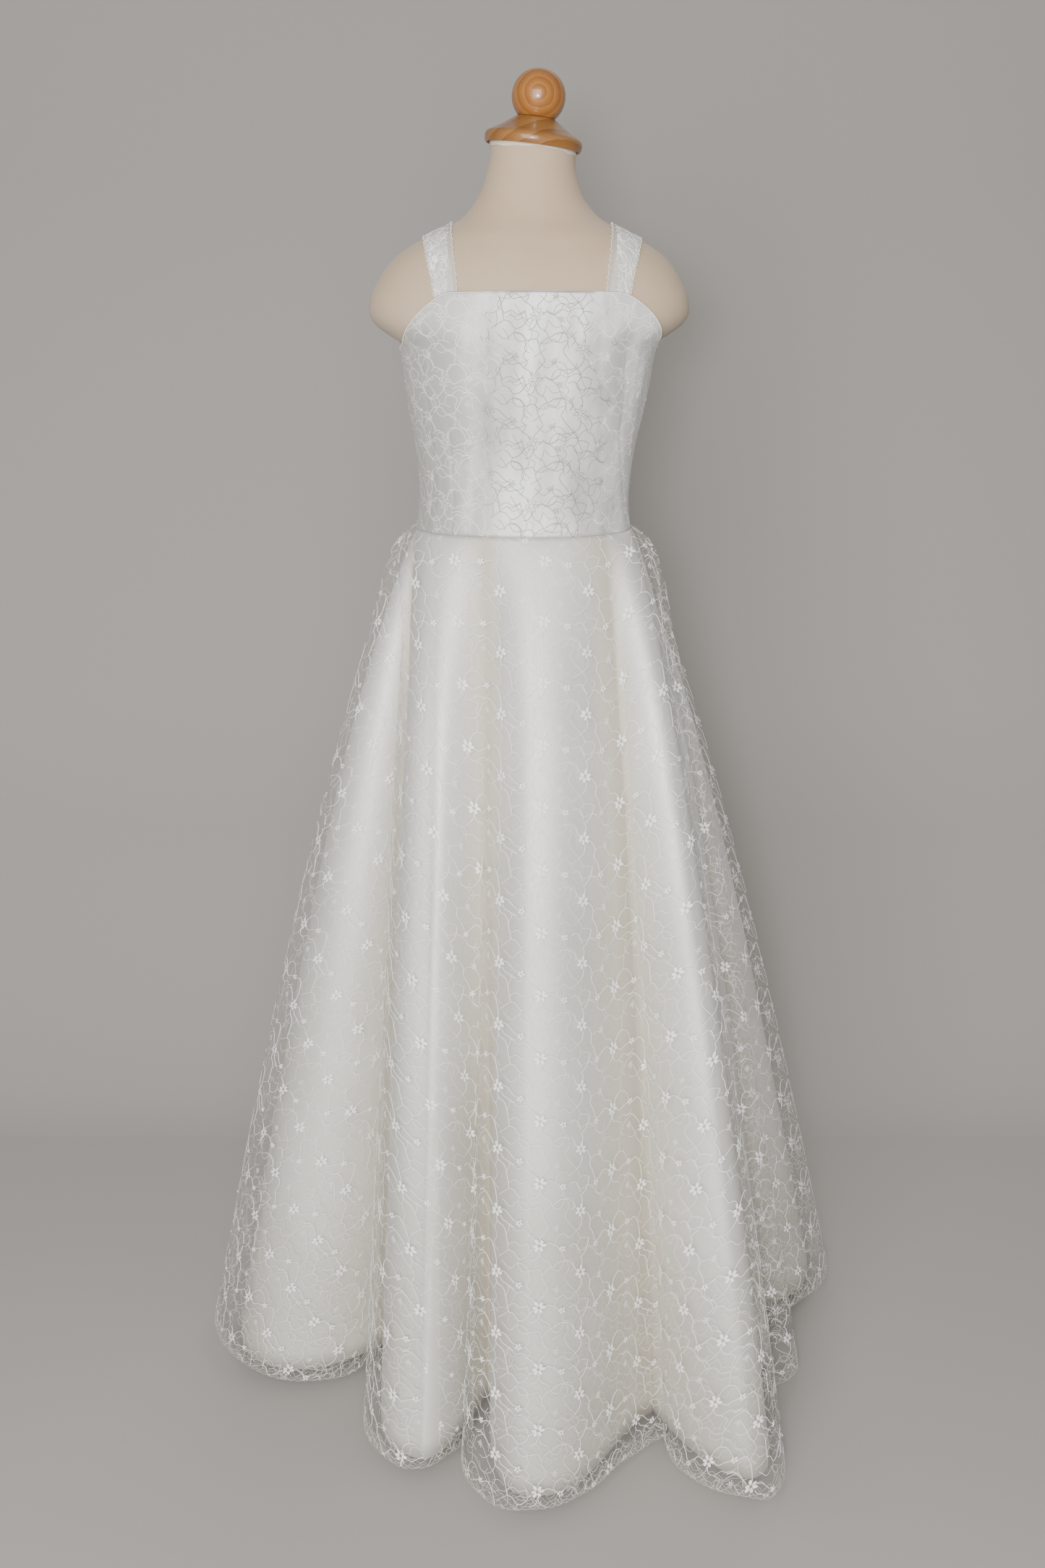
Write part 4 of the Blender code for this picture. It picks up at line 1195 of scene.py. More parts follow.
def lay_pieces(
    name: str,
    shapes: Sequence[tuple[FlatShape, np.ndarray]],
    flat_map: FlatMap,
    keep: Callable[[np.ndarray], np.ndarray] | None = None,
    lift: float = 0.0,
) -> bpy.types.Object:
    """Lay copies of flat shapes on a surface as one mesh.

    Args:
        name: The mesh's name.
        shapes: Each shape with the flat places of its copies, n by 2, in millimetres.
        flat_map: The surface.
        keep: Says which points in space may stay.
        lift: A height added to every point, in metres.

    Returns:
        The new object.
    """
    vertices, quads, triangles, start = [], [], [], 0
    for shape, places in shapes:
        points, own_quads, own_triangles = shape.arrays()
        flat = (points[None, :, :2] + places[:, None, :]).reshape(-1, 2) * MM
        height = np.tile(points[:, 2], len(places)) * MM + lift
        laid, inside = flat_map.lay(flat, height)
        if keep is not None:
            inside &= keep(laid)
        for faces, out in ((own_quads, quads), (own_triangles, triangles)):
            if len(faces):
                every = (faces[None] + (np.arange(len(places)) * len(points))[:, None, None])
                every = every.reshape(-1, faces.shape[1])
                out.append(every[inside[every].all(axis=1)] + start)
        vertices.append(laid)
        start += len(laid)
    quads = np.concatenate(quads) if quads else np.zeros((0, 4), int)
    triangles = np.concatenate(triangles) if triangles else np.zeros((0, 3), int)
    vertices = np.concatenate(vertices)
    used = np.zeros(len(vertices), bool)
    used[quads.ravel()] = True
    used[triangles.ravel()] = True
    number = np.cumsum(used) - 1
    return make_mesh(name, vertices[used], number[quads], number[triangles])


def tiling(repeat: LaceRepeat, flat_map: FlatMap, shift: tuple[float, float]) -> np.ndarray:
    """Return the flat places of every repeat that can touch a surface.

    Args:
        repeat: The repeat.
        flat_map: The surface.
        shift: The place of one repeat's first flower, in millimetres.

    Returns:
        The places, n by 2, in millimetres.
    """
    size = (repeat.width, repeat.height)
    first = np.floor((flat_map.low / MM - shift) / size) - 1
    last = np.ceil((flat_map.high / MM - shift) / size) + 1
    across, down = (np.arange(first[k], last[k]) for k in (0, 1))
    return np.stack(np.meshgrid(across, down), -1).reshape(-1, 2) * size + shift


def tube_arrays(path: np.ndarray, radius: float, sides: int) -> tuple[np.ndarray, np.ndarray]:
    """Return the vertices and quads of a round cord along a path."""
    along = unit(np.gradient(path, axis=0))
    first = unit(np.cross(along, CORD_ASIDE))
    second = np.cross(along, first)
    turns = 2.0 * pi * np.arange(sides) / sides
    ring = first[:, None] * np.cos(turns)[None, :, None] + second[:, None] * np.sin(turns)[None, :, None]
    return (path[:, None] + radius * ring).reshape(-1, 3), ring_quads(len(path), sides)


def join_tubes(name: str, paths: Sequence[np.ndarray], radius: float, sides: int = 6) -> bpy.types.Object:
    """Make several cords of one radius as one mesh."""
    vertices, quads, start = [], [], 0
    for path in paths:
        own_vertices, own_quads = tube_arrays(np.asarray(path, float), radius, sides)
        vertices.append(own_vertices)
        quads.append(own_quads + start)
        start += len(own_vertices)
    return make_mesh(name, np.concatenate(vertices), np.concatenate(quads))


def dress_piece(
    piece: bpy.types.Object, material: bpy.types.Material, slot: str, *nodes: str
) -> bpy.types.Object:
    """Give a piece its material, its place on the form's body and the nodes that it replaces."""
    piece.data.materials.clear()
    piece.data.materials.append(material)
    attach(piece, BODY)
    if nodes:
        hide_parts(*nodes)
    LOG.info("%s: %d faces", piece.name, len(piece.data.polygons))
    return piece


def surface_lift(angles: np.ndarray, out: float) -> np.ndarray:
    """Return level steps of one length away from the body, in the plan direction of angles."""
    turn = np.radians(angles)
    return out * np.stack((np.sin(turn), -np.cos(turn), np.zeros_like(turn)), -1)


def deselect_all() -> None:
    """Leave nothing selected, so an operator acts on the new piece alone."""
    bpy.ops.object.select_all(action="DESELECT")


def neck_frame(height: float) -> Matrix:
    """Return the place of a piece that stands on the slanting neck."""
    top = Matrix.Translation((float(BodyForm.lean(NECK_TOP)), 0.0, NECK_TOP))
    return top @ Matrix.Rotation(NECK_SLANT, 4, "Y") @ Matrix.Translation((0.0, 0.0, height))


def slant_neck(points: np.ndarray) -> np.ndarray:
    """Tilt what lies above the shoulders towards the slanting top of the neck."""
    share = np.clip((points[..., 2] - SLANT_FROM) / (NECK_TOP - SLANT_FROM), 0.0, 1.0)
    out = points.copy()
    out[..., 2] -= (points[..., 0] - BodyForm.lean(points[..., 2])) * tan(NECK_SLANT) * share
    return out


@dataclass
class FormTorso:
    """The limbless form's jersey covered torso and the edge of its cover."""

    columns: int = 120
    rows: int = 130
    foot: float = 0.655
    edge_low: float = 1.1690
    edge_high: float = 1.1742
    edge_out: float = 0.0004
    edge_wall: float = 0.0009
    edge_rows: int = 7
    edge_radius: float = 0.038

    def build(self) -> bpy.types.Object:
        """Return the torso."""
        heights = np.linspace(NECK_TOP, self.foot, self.rows + 1)
        angles = np.linspace(0.0, 360.0, self.columns, endpoint=False)
        rings = slant_neck(BodyForm.point(heights[:, None], angles[None, :], 0.0))
        vertices = np.concatenate((rings.reshape(-1, 3), rings[:1].mean(axis=1), rings[-1:].mean(axis=1)))
        top, foot = (np.full(self.columns, len(vertices) - k) for k in (2, 1))
        first = np.arange(self.columns)
        after = np.roll(first, -1)
        last = first + self.rows * self.columns
        caps = (
            np.stack((first, after, top), -1),
            np.stack((np.roll(last, -1), last, foot), -1),
        )
        quads = ring_quads(self.rows + 1, self.columns)[:, ::-1]
        return make_mesh("torso_jersey", vertices, quads, np.concatenate(caps))

    def build_edge(self) -> bpy.types.Object:
        """Return the pale turned edge of the jersey under the cap."""
        angles = np.linspace(-180.0, 180.0, 145)
        turn = np.radians(angles)[None, :]
        heights = np.linspace(self.edge_high, self.edge_low, self.edge_rows)[:, None]
        ragged = 0.0011 * np.sin(turn * 3.0 + 0.8) + 0.0004 * np.sin(turn * 11.0)
        share = np.linspace(0.0, 1.0, self.edge_rows)[:, None]
        points = slant_neck(BodyForm.point(heights + ragged * share, angles[None, :], self.edge_out))
        flat = np.stack(np.broadcast_arrays(turn * self.edge_radius, 0.007 * share), -1)
        return make_cloth("jersey_edge", points, surface_normals(points), flat, self.edge_wall)


@dataclass
class NeckPieces:
    """The turned wooden cap and ball that close the form's neck."""

    # Radius and height of each ring, from the underside up
    cap_profile: tuple = (
        (0.0400, 0.0), (0.0404, -0.0026), (0.0416, -0.0034), (0.0429, -0.0014),
        (0.0434, 0.0020), (0.0428, 0.0048), (0.0408, 0.0070), (0.0355, 0.0098),
        (0.0290, 0.0136), (0.0232, 0.0176), (0.0188, 0.0206), (0.0166, 0.0216),
    )
    cap_lift: float = 0.0003
    ball_radius: float = 0.0237
    ball_seat: float = 0.0172
    ball_gap: float = 0.0006

    def build_cap(self) -> bpy.types.Object:
        """Return the cap, drawn up ring by ring from a disc."""
        profile = smooth_line(self.cap_profile, 0.0012)
        deselect_all()
        bpy.ops.mesh.primitive_circle_add(vertices=96, radius=profile[0][0], fill_type="NGON")
        cap = bpy.context.object
        cap.name = cap.data.name = "wood_cap"
        bpy.ops.object.mode_set(mode="EDIT")
        bpy.ops.mesh.select_all(action="SELECT")
        for (radius, height), (after, above) in zip(profile, profile[1:]):
            rise = (0.0, 0.0, above - height)
            bpy.ops.mesh.extrude_region_move(TRANSFORM_OT_translate={"value": rise})
            grow = after / radius
            bpy.ops.transform.resize(value=(grow, grow, 1.0), center_override=(0.0, 0.0, above))
        return self._settle(cap, self.cap_lift)

    def build_ball(self) -> bpy.types.Object:
        """Return the ball, cut flat where it sits on the cap."""
        deselect_all()
        bpy.ops.mesh.primitive_uv_sphere_add(segments=72, ring_count=40, radius=self.ball_radius)
        ball = bpy.context.object
        ball.name = ball.data.name = "wood_ball"
        bpy.ops.object.mode_set(mode="EDIT")
        bpy.ops.mesh.select_all(action="SELECT")
        bpy.ops.mesh.bisect(
            plane_co=(0.0, 0.0, -self.ball_seat), plane_no=(0.0, 0.0, 1.0),
            use_fill=True, clear_inner=True,
        )
        return self._settle(ball, self.cap_profile[-1][1] + self.ball_gap + self.ball_seat)

    @staticmethod
    def _settle(piece: bpy.types.Object, height: float) -> bpy.types.Object:
        """Leave edit mode with the faces turned outward, and put a piece on the neck."""
        bpy.ops.mesh.select_all(action="SELECT")
        bpy.ops.mesh.normals_make_consistent(inside=False)
        bpy.ops.object.mode_set(mode="OBJECT")
        piece.matrix_world = neck_frame(height)
        bpy.ops.object.transform_apply(location=True, rotation=True, scale=True)
        bpy.ops.object.shade_smooth_by_angle(angle=radians(40))
        return piece


@dataclass(frozen=True)
class Fold:
    """A line down the bodice by angle and height: a seam if narrow, a soft fold if wide."""

    line: tuple[tuple[float, float], ...]
    width: float
    rise: float


@dataclass
class Bodice:
    """The fitted bodice of embroidered net over satin, with its side and back seams."""

    edge_turn: float = 2.5
    # Angle from the middle of the front and height of the upper edge
    edge_line: tuple = (
        (0.0, 1.0500), (46.0, 1.0490), (50.5, 1.0462), (54.5, 1.0405), (59.0, 1.0312),
        (64.0, 1.0198), (70.0, 1.0110), (78.0, 1.0048), (90.0, 1.0010), (102.0, 1.0005),
        (112.0, 1.0045), (120.0, 1.0145), (127.0, 1.0282), (131.0, 1.0360), (181.0, 1.0360),
    )
    ease: float = 0.0015
    wall: float = 0.0016
    column_step: float = 1.1
    rows: int = 76
    overlap: float = 0.0002
    panel_gap: float = 0.15
    lace_gap: float = 0.2
    lace_step: float = 1.2
    lace_rows: int = 120
    edge_margin: float = 0.0012
    edge_step: float = 0.8
    # The cloth's extra ease at the waist seam, over the chest and in the seam's roll
    seam_bulk: float = 0.0015
    seam_fade: float = 0.010
    chest_lift: float = 0.0012
    chest_from: float = 0.985
    chest_over: float = 0.020
    roll_out: float = 0.0001
    roll_width: float = 0.0028
    coil_pitch: float = 0.0013
    coil_radius: float = 0.0004
    coil_step: float = 0.00016
    coil_below: float = 0.020
    spans: dict = field(default_factory=lambda: {
        "bodice_front": (-94.0, 80.0),
        "bodice_back_right": (80.0, 180.0),
        "bodice_back_left": (180.0, 266.0),
    })
    folds: tuple = (
        Fold(((-47.0, 0.935), (-46.5, 0.90), (-46.0, 0.838)), 0.0010, -0.8),
        Fold(((-61.0, 0.990), (-59.0, 0.95), (-60.0, 0.90), (-66.0, 0.838)), 0.0011, -0.7),
        Fold(((55.0, 1.000), (57.5, 0.95), (59.0, 0.925), (70.0, 0.872), (79.0, 0.838)), 0.0012, -0.8),
        Fold(((20.0, 1.047), (14.5, 1.00), (9.0, 0.95), (3.0, 0.905), (1.0, 0.880)), 0.0100, -1.3),
        Fold(((33.0, 1.040), (28.0, 0.99), (22.0, 0.94), (18.0, 0.900)), 0.0090, 1.1),
        Fold(((-33.0, 1.045), (-32.0, 1.00), (-28.0, 0.94), (-29.0, 0.880)), 0.0095, -1.3),
        Fold(((-18.0, 1.040), (-15.0, 0.98), (-18.0, 0.92)), 0.0095, 1.1),
        Fold(((43.0, 1.030), (40.0, 0.97), (36.0, 0.90), (37.0, 0.850)), 0.0090, -1.1),
        Fold(((-5.0, 0.915), (-10.0, 0.88), (-8.0, 0.850)), 0.0110, -0.8),
        Fold(((11.0, 0.900), (17.0, 0.87), (15.0, 0.845)), 0.0100, 0.6),
        Fold(((-75.0, 0.995), (-72.0, 0.95), (-70.0, 0.90)), 0.0060, 0.9),
        Fold(((-84.0, 0.985), (-81.0, 0.94), (-82.0, 0.88)), 0.0022, 0.5),
        Fold(((-68.0, 0.960), (-66.0, 0.91), (-69.0, 0.86)), 0.0020, 0.45),
        Fold(((-57.0, 0.930), (-56.0, 0.89), (-58.0, 0.845)), 0.0018, 0.4),
        Fold(((-77.0, 0.930), (-76.0, 0.88), (-78.0, 0.850)), 0.0020, -0.4),
        Fold(((70.0, 0.990), (68.0, 0.95), (72.0, 0.90)), 0.0055, 0.9),
        Fold(((64.0, 1.005), (63.0, 0.97), (65.0, 0.93)), 0.0020, 0.45),
        Fold(((75.0, 0.975), (73.0, 0.93), (76.0, 0.88)), 0.0022, -0.45),
        Fold(((135.0, 1.020), (138.0, 0.96), (139.0, 0.90), (138.0, 0.842)), 0.0011, -0.7),
        Fold(((225.0, 1.020), (222.0, 0.96), (221.0, 0.90), (222.0, 0.842)), 0.0011, -0.7),
        Fold(((155.0, 1.030), (158.0, 0.97), (152.0, 0.91)), 0.0080, 0.4),
        Fold(((201.0, 1.030), (205.0, 0.96), (203.0, 0.90)), 0.0075, -0.4),
        Fold(((110.0, 0.990), (114.0, 0.94), (110.0, 0.89)), 0.0070, 0.5),
        Fold(((246.0, 0.995), (243.0, 0.95), (247.0, 0.90)), 0.0065, 0.5),
    )

    def edge(self, angle: np.ndarray) -> np.ndarray:
        """Return the height of the upper edge at an angle."""
        around = np.abs((np.asarray(angle, float) - self.edge_turn + 180.0) % 360.0 - 180.0)
        angles, heights = np.array(self.edge_line).T
        return smooth_table(angles, heights, around)

    def offset(self, z: np.ndarray) -> np.ndarray:
        """Return how far the cloth's middle lies outside the form at a height."""
        bulk = self.seam_bulk * np.exp(-np.maximum(z - WAIST_SEAM, 0.0) / self.seam_fade)
        lift = self.chest_lift * np.clip((z - self.chest_from) / self.chest_over, 0.0, 1.0)
        roll = self.roll_out * np.exp(-(((z - WAIST_SEAM) / self.roll_width) ** 2))
        return self.ease + self.wall / 2.0 + bulk + lift + roll

    def surface(self, angles: np.ndarray, heights: np.ndarray) -> np.ndarray:
        """Return points on the folded cloth's middle."""
        out = self.offset(heights)
        radius = BodyForm.radius(heights, angles)
        for fold in self.folds:
            line = np.array(sorted(fold.line, key=lambda place: place[1]))
            centre = np.interp(heights, line[:, 1], line[:, 0])
            away = np.radians((angles - centre + 180.0) % 360.0 - 180.0) * radius
            fade = 0.004 if fold.width < 0.002 else 0.020
            ends = smooth_step(line[0, 1] - fade, line[0, 1] + fade, heights)
            ends = ends * (1.0 - smooth_step(line[-1, 1] - fade, line[-1, 1] + fade, heights))
            out = out + fold.rise * MM * np.exp(-((away / fold.width) ** 2)) * ends
        return BodyForm.point(heights, angles, out)

    @staticmethod
    def flat(angles: np.ndarray, heights: np.ndarray) -> np.ndarray:
        """Return the flat pattern place of points by angle and height."""
        return np.stack(np.broadcast_arrays(np.radians(angles) * 0.1, 1.05 - heights), -1)

    def build_panel(self, node: str) -> bpy.types.Object:
        """Return one panel as a thin closed shell."""
        first, last = self.spans[node]
        count = round((last - first) / self.column_step)
        angles = np.linspace(first + self.panel_gap, last - self.panel_gap, count + 1)[None, :]
        share = np.linspace(0.0, 1.0, self.rows + 1)[:, None]
        heights = blend(self.edge(angles), WAIST_SEAM - self.overlap, share)
        angles = np.broadcast_to(angles, heights.shape)
        points = self.surface(angles, heights)
        normals = surface_normals(points)
        return make_cloth("cloth_" + node, points, normals, self.flat(angles, heights), self.wall * 0.7)

    def lace_map(self, node: str) -> FlatMap:
        """Return the flat map of a panel's whole rectangle, above its edge too."""
        first, last = self.spans[node]
        count = round((last - first) / self.lace_step)
        angles = np.linspace(first + self.lace_gap, last - self.lace_gap, count + 1)[None, :]
        top = self.edge_line[0][1] + 0.001
        heights = np.linspace(top, WAIST_SEAM - self.edge_margin, self.lace_rows)[:, None]
        angles, heights = np.broadcast_arrays(angles, heights)
        points = self.surface(angles, heights)
        column = int(np.argmin(np.abs(angles[0] - (0.0 if first < 0.0 else (first + last) / 2.0))))
        return FlatMap(points, surface_normals(points), column)

    def under_edge(self, points: np.ndarray) -> np.ndarray:
        """Say which points lie under the upper edge."""
        x = points[:, 0] - BodyForm.lean(points[:, 2])
        angle = np.degrees(np.arctan2(x, -points[:, 1]))
        return points[:, 2] < self.edge(angle) - self.edge_margin

    def zip_coil(self) -> np.ndarray:
        """Return the zip's coil of teeth, which lies in the centre back seam under the slider."""
        heights = np.arange(WAIST_SEAM, BACK_NECKLINE - self.coil_below, self.coil_step)
        turn = 2.0 * pi * heights / self.coil_pitch
        middle = BodyForm.point(heights, np.full(len(heights), 180.0), self.offset(heights))
        return middle + self.coil_radius * np.stack((np.cos(turn), np.sin(turn), np.zeros_like(turn)), -1)

    def edge_path(self, first: float, last: float, drop: float, out: float) -> np.ndarray:
        """Return a path along the upper edge."""
        angles = np.linspace(first, last, max(2, round(abs(last - first) / self.edge_step)))
        heights = self.edge(angles) - drop
        return BodyForm.point(heights, angles, self.offset(heights) + out)


@dataclass(frozen=True)
class Strap:
    """A strap's centre and half width at its front end, at the top and at its back end."""

    name: str
    front_x: float
    front_half: float
    top_x: float
    top_half: float
    back_x: float
    back_half: float
    plain_from: float = 0.0105

    def line(self, share: np.ndarray) -> tuple[np.ndarray, np.ndarray]:
        """Return the centre and half width at a share of the way over the shoulder."""
        over = np.sin(pi * share)
        front = share < 0.5
        centre = blend(np.where(front, self.front_x, self.back_x), self.top_x, over)
        half = blend(np.where(front, self.front_half, self.back_half), self.top_half, over)
        return centre, half

    def outside_margin(self, side: float, points: np.ndarray) -> np.ndarray:
        """Say which points lie outside the strap's sheer inner margin, on the side of a sign."""
        return (points[:, 0] - self.top_x) * side < self.plain_from


@dataclass
class Straps:
    """The two shoulder straps of doubled embroidered net."""

    torso: bpy.types.Object
    straps: tuple = (
        Strap("strap_left", -0.0705, 0.0102, -0.0802, 0.0125, -0.0715, 0.0110),
        Strap("strap_right", 0.0770, 0.0106, 0.0870, 0.0130, 0.0760, 0.0110),
    )
    rows: int = 84
    columns: int = 14
    front_end: float = 1.0430
    back_end: float = 1.0290
    reach: float = 0.3
    ease: float = 0.0007
    wall: float = 0.0011
    PICOT_STEP: ClassVar[float] = 0.0009
    PICOT_WAVE: ClassVar[float] = 0.0052

    def surface(self, strap: Strap) -> tuple[np.ndarray, np.ndarray]:
        """Return a strap's grid of points, from its front end over the shoulder, and normals."""
        mesh = self.torso.data
        tree = BVHTree.FromPolygons([v.co for v in mesh.vertices], [f.vertices for f in mesh.polygons])
        points = np.zeros((self.rows + 1, self.columns + 1, 3))
        for row, share in enumerate(np.linspace(1.0, 0.0, self.rows + 1)):
            centre, half = strap.line(share)
            out = Vector((0.0, -cos(pi * share), sin(pi * share)))
            axis_z = blend(self.front_end, self.back_end, share)
            for column, side in enumerate(np.linspace(-1.0, 1.0, self.columns + 1)):
                start = Vector((float(centre + half * side), 0.0, axis_z)) + out * self.reach
                points[row, column] = tree.ray_cast(start, -out)[0]
        normals = surface_normals(points)
        share = np.linspace(1.0, 0.0, self.rows + 1)[:, None]
        puff = 0.0007 * np.sin(share * 31.0 + 1.0) * np.sin(share * 13.0)
        return points + normals * (self.ease + self.wall / 2.0 + puff)[..., None], normals

    @classmethod
    def picots(cls, points: np.ndarray, normals: np.ndarray) -> list[np.ndarray]:
        """Return a looped cord along each edge of a strap."""
        paths = []
        for column, inner in ((0, 1), (-1, -2)):
            edge, out = points[:, column], normals[:, column]
            side = unit(edge - points[:, inner])
            run = np.concatenate(([0.0], np.cumsum(np.linalg.norm(np.diff(edge, axis=0), axis=1))))
            at = np.arange(0.0, run[-1], cls.PICOT_STEP)
            base, up, aside = (
                np.stack([np.interp(at, run, grid[:, k]) for k in range(3)], -1)
                for grid in (edge, out, side)
            )
            turn = 2.0 * pi * at / cls.PICOT_WAVE
            swing = 0.0006 * np.sin(turn) * (1.0 + 0.5 * np.sin(0.37 * turn + 1.0))
            lift = 0.0007 + 0.0004 * np.cos(0.61 * turn)
            paths.append(base + up * lift[:, None] + aside * swing[:, None])
        return paths


class SkirtPanels:
    """Builds the panels of one skirt and keeps their surfaces."""

    REFERENCE = {Panel.FRONT: 2.5, Panel.BACK_RIGHT: 5.5, Panel.BACK_LEFT: 9.5}

    def __init__(self, form: SkirtForm, name: str, node: str, thickness: float) -> None:
        """Keep the skirt's form, its pieces' name, the nodes' name and the cloth's thickness."""
        self.form, self.name, self.node, self.thickness = form, name, node, thickness
        self.surfaces = {panel: form.surface(panel) for panel in Panel}

    def reference(self, panel: Panel) -> int:
        """Return the column that runs down a panel's middle crest."""
        return int(np.argmin(np.abs(self.form.columns(panel)[4] - self.REFERENCE[panel])))

    def flat_map(self, panel: Panel, from_hem: bool = False) -> FlatMap:
        """Return a panel's flat map, from the waist or from the hem."""
        return FlatMap(*self.surfaces[panel], self.reference(panel), from_hem)

    def build(self, panel: Panel, flat_map: FlatMap) -> bpy.types.Object:
        """Return one panel's cloth."""
        points, normals = self.surfaces[panel]
        away = np.abs(2.0 * (self.form.columns(panel)[4] % 1.0) - 1.0)
        down = np.linspace(0.0, 1.0, len(points))[:, None]
        marks = np.stack(np.broadcast_arrays(away, down), -1)
        return make_cloth(
            f"{self.name}_{panel.label}", points, normals, flat_map.flat, self.thickness, marks
        )

    def nodes(self, panel: Panel) -> str:
        """Return the CAD node that a panel stands for."""
        return f"{self.node}_{panel.label}"


def measure_cloth(label: str, points: np.ndarray) -> tuple[float, float, float]:
    """Return a grid's widest row, its longest column and its area, in metres."""
    width = float(arc_lengths(points, 1)[:, -1].max())
    length = float(arc_lengths(points, 0)[-1].max())
    a, b = points[1:, 1:] - points[:-1, :-1], points[1:, :-1] - points[:-1, 1:]
    area = float(np.linalg.norm(np.cross(a, b), axis=-1).sum() / 2.0)
    LOG.info("%s: flat %.3f by %.3f m, %.4f m2", label, width, length, area)
    return width, length, area


def hem_cords(flat_map: FlatMap, waves: Sequence[tuple[float, float, float, float]]) -> list[np.ndarray]:
    """Return wavy paths along a hem.

    Args:
        flat_map: The surface, measured up from the hem.
        waves: For each path its height, swing, wave length and start, in millimetres.

    Returns:
        The paths in space.
    """
    paths = []
    across = np.arange(flat_map.low[0] + 0.002, flat_map.high[0] - 0.002, 0.0022)
    for height, swing, length, start in waves:
        turn = 2.0 * pi * (across / MM + start) / length
        up = height + swing * (np.sin(turn) + 0.35 * np.sin(2.3 * turn + 0.7)) / 1.2
        flat = np.stack((across, np.maximum(up, 0.6) * MM), -1)
        laid, inside = flat_map.lay(flat, np.full(len(across), 0.0008))
        paths.append(laid[inside])
    return paths


def scatter_beads(name: str, places: np.ndarray, radius: float) -> bpy.types.Object:
    """Make small round beads as one mesh."""
    sides, tilts = 8, np.radians((-50.0, -10.0, 30.0, 62.0))
    first = np.arange(sides)
    after = np.roll(first, -1)
    turns = 2.0 * pi * first / sides
    rings = [np.stack((np.cos(turns) * cos(t), np.sin(turns) * cos(t), np.full(sides, sin(t))), -1)
             for t in tilts]
    ball = np.concatenate([*rings, [(0.0, 0.0, 1.0)], [(0.0, 0.0, -1.0)]]) * radius
    last = first + (len(tilts) - 1) * sides
    top, foot = (np.full(sides, len(ball) - k) for k in (2, 1))
    triangles = np.stack((last, np.roll(last, -1), top, after, first, foot), -1).reshape(-1, 3)
    shift = (np.arange(len(places)) * len(ball))[:, None, None]
    return make_mesh(
        name,
        (places[:, None] + ball[None]).reshape(-1, 3),
        (ring_quads(len(tilts), sides)[None] + shift).reshape(-1, 4),
        (triangles[None] + shift).reshape(-1, 3),
    )


@dataclass
class Studio:
    """The pale floor and paper sweep, the lights and the camera."""

    camera_at: tuple = (-0.005, -1.55, 1.031)
    camera_tilt: float = 74.0
    lens: float = 36.0 * 2270.0 / 2168.0
    floor_radii: tuple = (0.5, 1.5, 4.0, 9.0)
    floor_sides: int = 64
    floor_z: float = -0.001
    cove_start: float = 0.38
    cove_radius: float = 0.32
    wall_top: float = 3.2
    half_width: float = 3.2

    def build_camera(self) -> None:
        """Add the camera, looking down a little at the front."""
        data = bpy.data.cameras.new("camera")
        data.sensor_fit, data.sensor_height, data.lens = "VERTICAL", 36.0, self.lens
        data.clip_start = 0.01
        camera = bpy.data.objects.new("camera", data)
        camera.location = self.camera_at
        camera.rotation_euler = (radians(self.camera_tilt), 0.0, 0.0)
        bpy.context.scene.collection.objects.link(camera)
        bpy.context.scene.camera = camera

    def build_backdrop(self) -> None:
        """Add the floor and the sweep behind the dress."""
        first = np.arange(self.floor_sides)
        turns = 2.0 * pi * first / self.floor_sides
        circle = np.stack((np.cos(turns), np.sin(turns)), -1)
        flat = np.concatenate([*(radius * circle for radius in self.floor_radii), [(0.0, 0.0)]])
        vertices = np.column_stack((flat, np.full(len(flat), self.floor_z)))
        quads = ring_quads(len(self.floor_radii), self.floor_sides)[:, ::-1]
        middle = np.full(self.floor_sides, len(flat) - 1)
        triangles = np.stack((first, np.roll(first, -1), middle), -1)
        floor = make_mesh("studio_floor", vertices, quads, triangles)
        floor.data.materials.append(BackdropFinish().build())
        turn = np.linspace(0.0, pi / 2.0, 25)
        depth = [*(self.cove_start + self.cove_radius * np.sin(turn)), self.cove_start + self.cove_radius]
        height = [*(self.floor_z + 0.0004 + self.cove_radius * (1.0 - np.cos(turn))), self.wall_top]
        across = np.linspace(-self.half_width, self.half_width, 9)
        points = np.array([[(x, y, z) for x in across] for y, z in zip(depth, height)])
        sweep = make_mesh("studio_sweep", points.reshape(-1, 3), grid_quads(len(depth), 9)[:, ::-1])
        sweep.data.materials.append(BackdropFinish(one_sided=True).build())
        sweep.visible_shadow = False

    @staticmethod
    def add_light(
        name: str, at: tuple, towards: tuple, size: float, power: float, colour: tuple
    ) -> None:
        """Add a soft square light that the camera doesn't see."""
        data = bpy.data.lights.new(name, "AREA")
        data.shape, data.size, data.energy, data.color = "SQUARE", size, power, colour
        light = bpy.data.objects.new(name, data)
        light.location = at
        light.rotation_euler = (Vector(towards) - Vector(at)).to_track_quat("-Z", "Y").to_euler()
        light.visible_camera = False
        bpy.context.scene.collection.objects.link(light)

    def build_lights(self) -> None:
        """Add the room's even light, a small key, a wide front light and one from behind."""
        world = bpy.data.worlds.new("studio")
        world.use_nodes = True
        world.node_tree.nodes["Background"].inputs["Color"].default_value = (1.0, 0.99, 0.975, 1.0)
        world.node_tree.nodes["Background"].inputs["Strength"].default_value = 0.36
        bpy.context.scene.world = world
        self.add_light("key", (-0.14, -2.05, 1.10), (0.0, 0.0, 0.85), 0.22, 24.0, (1.0, 1.0, 0.995))
        self.add_light("front", (-0.34, -2.2, 1.35), (0.0, 0.0, 0.7), 1.5, 62.0, (1.0, 0.995, 0.98))
        self.add_light("back", (0.4, 2.2, 2.8), (0.0, -0.3, 0.0), 1.8, 32.0, (0.99, 0.99, 1.0))


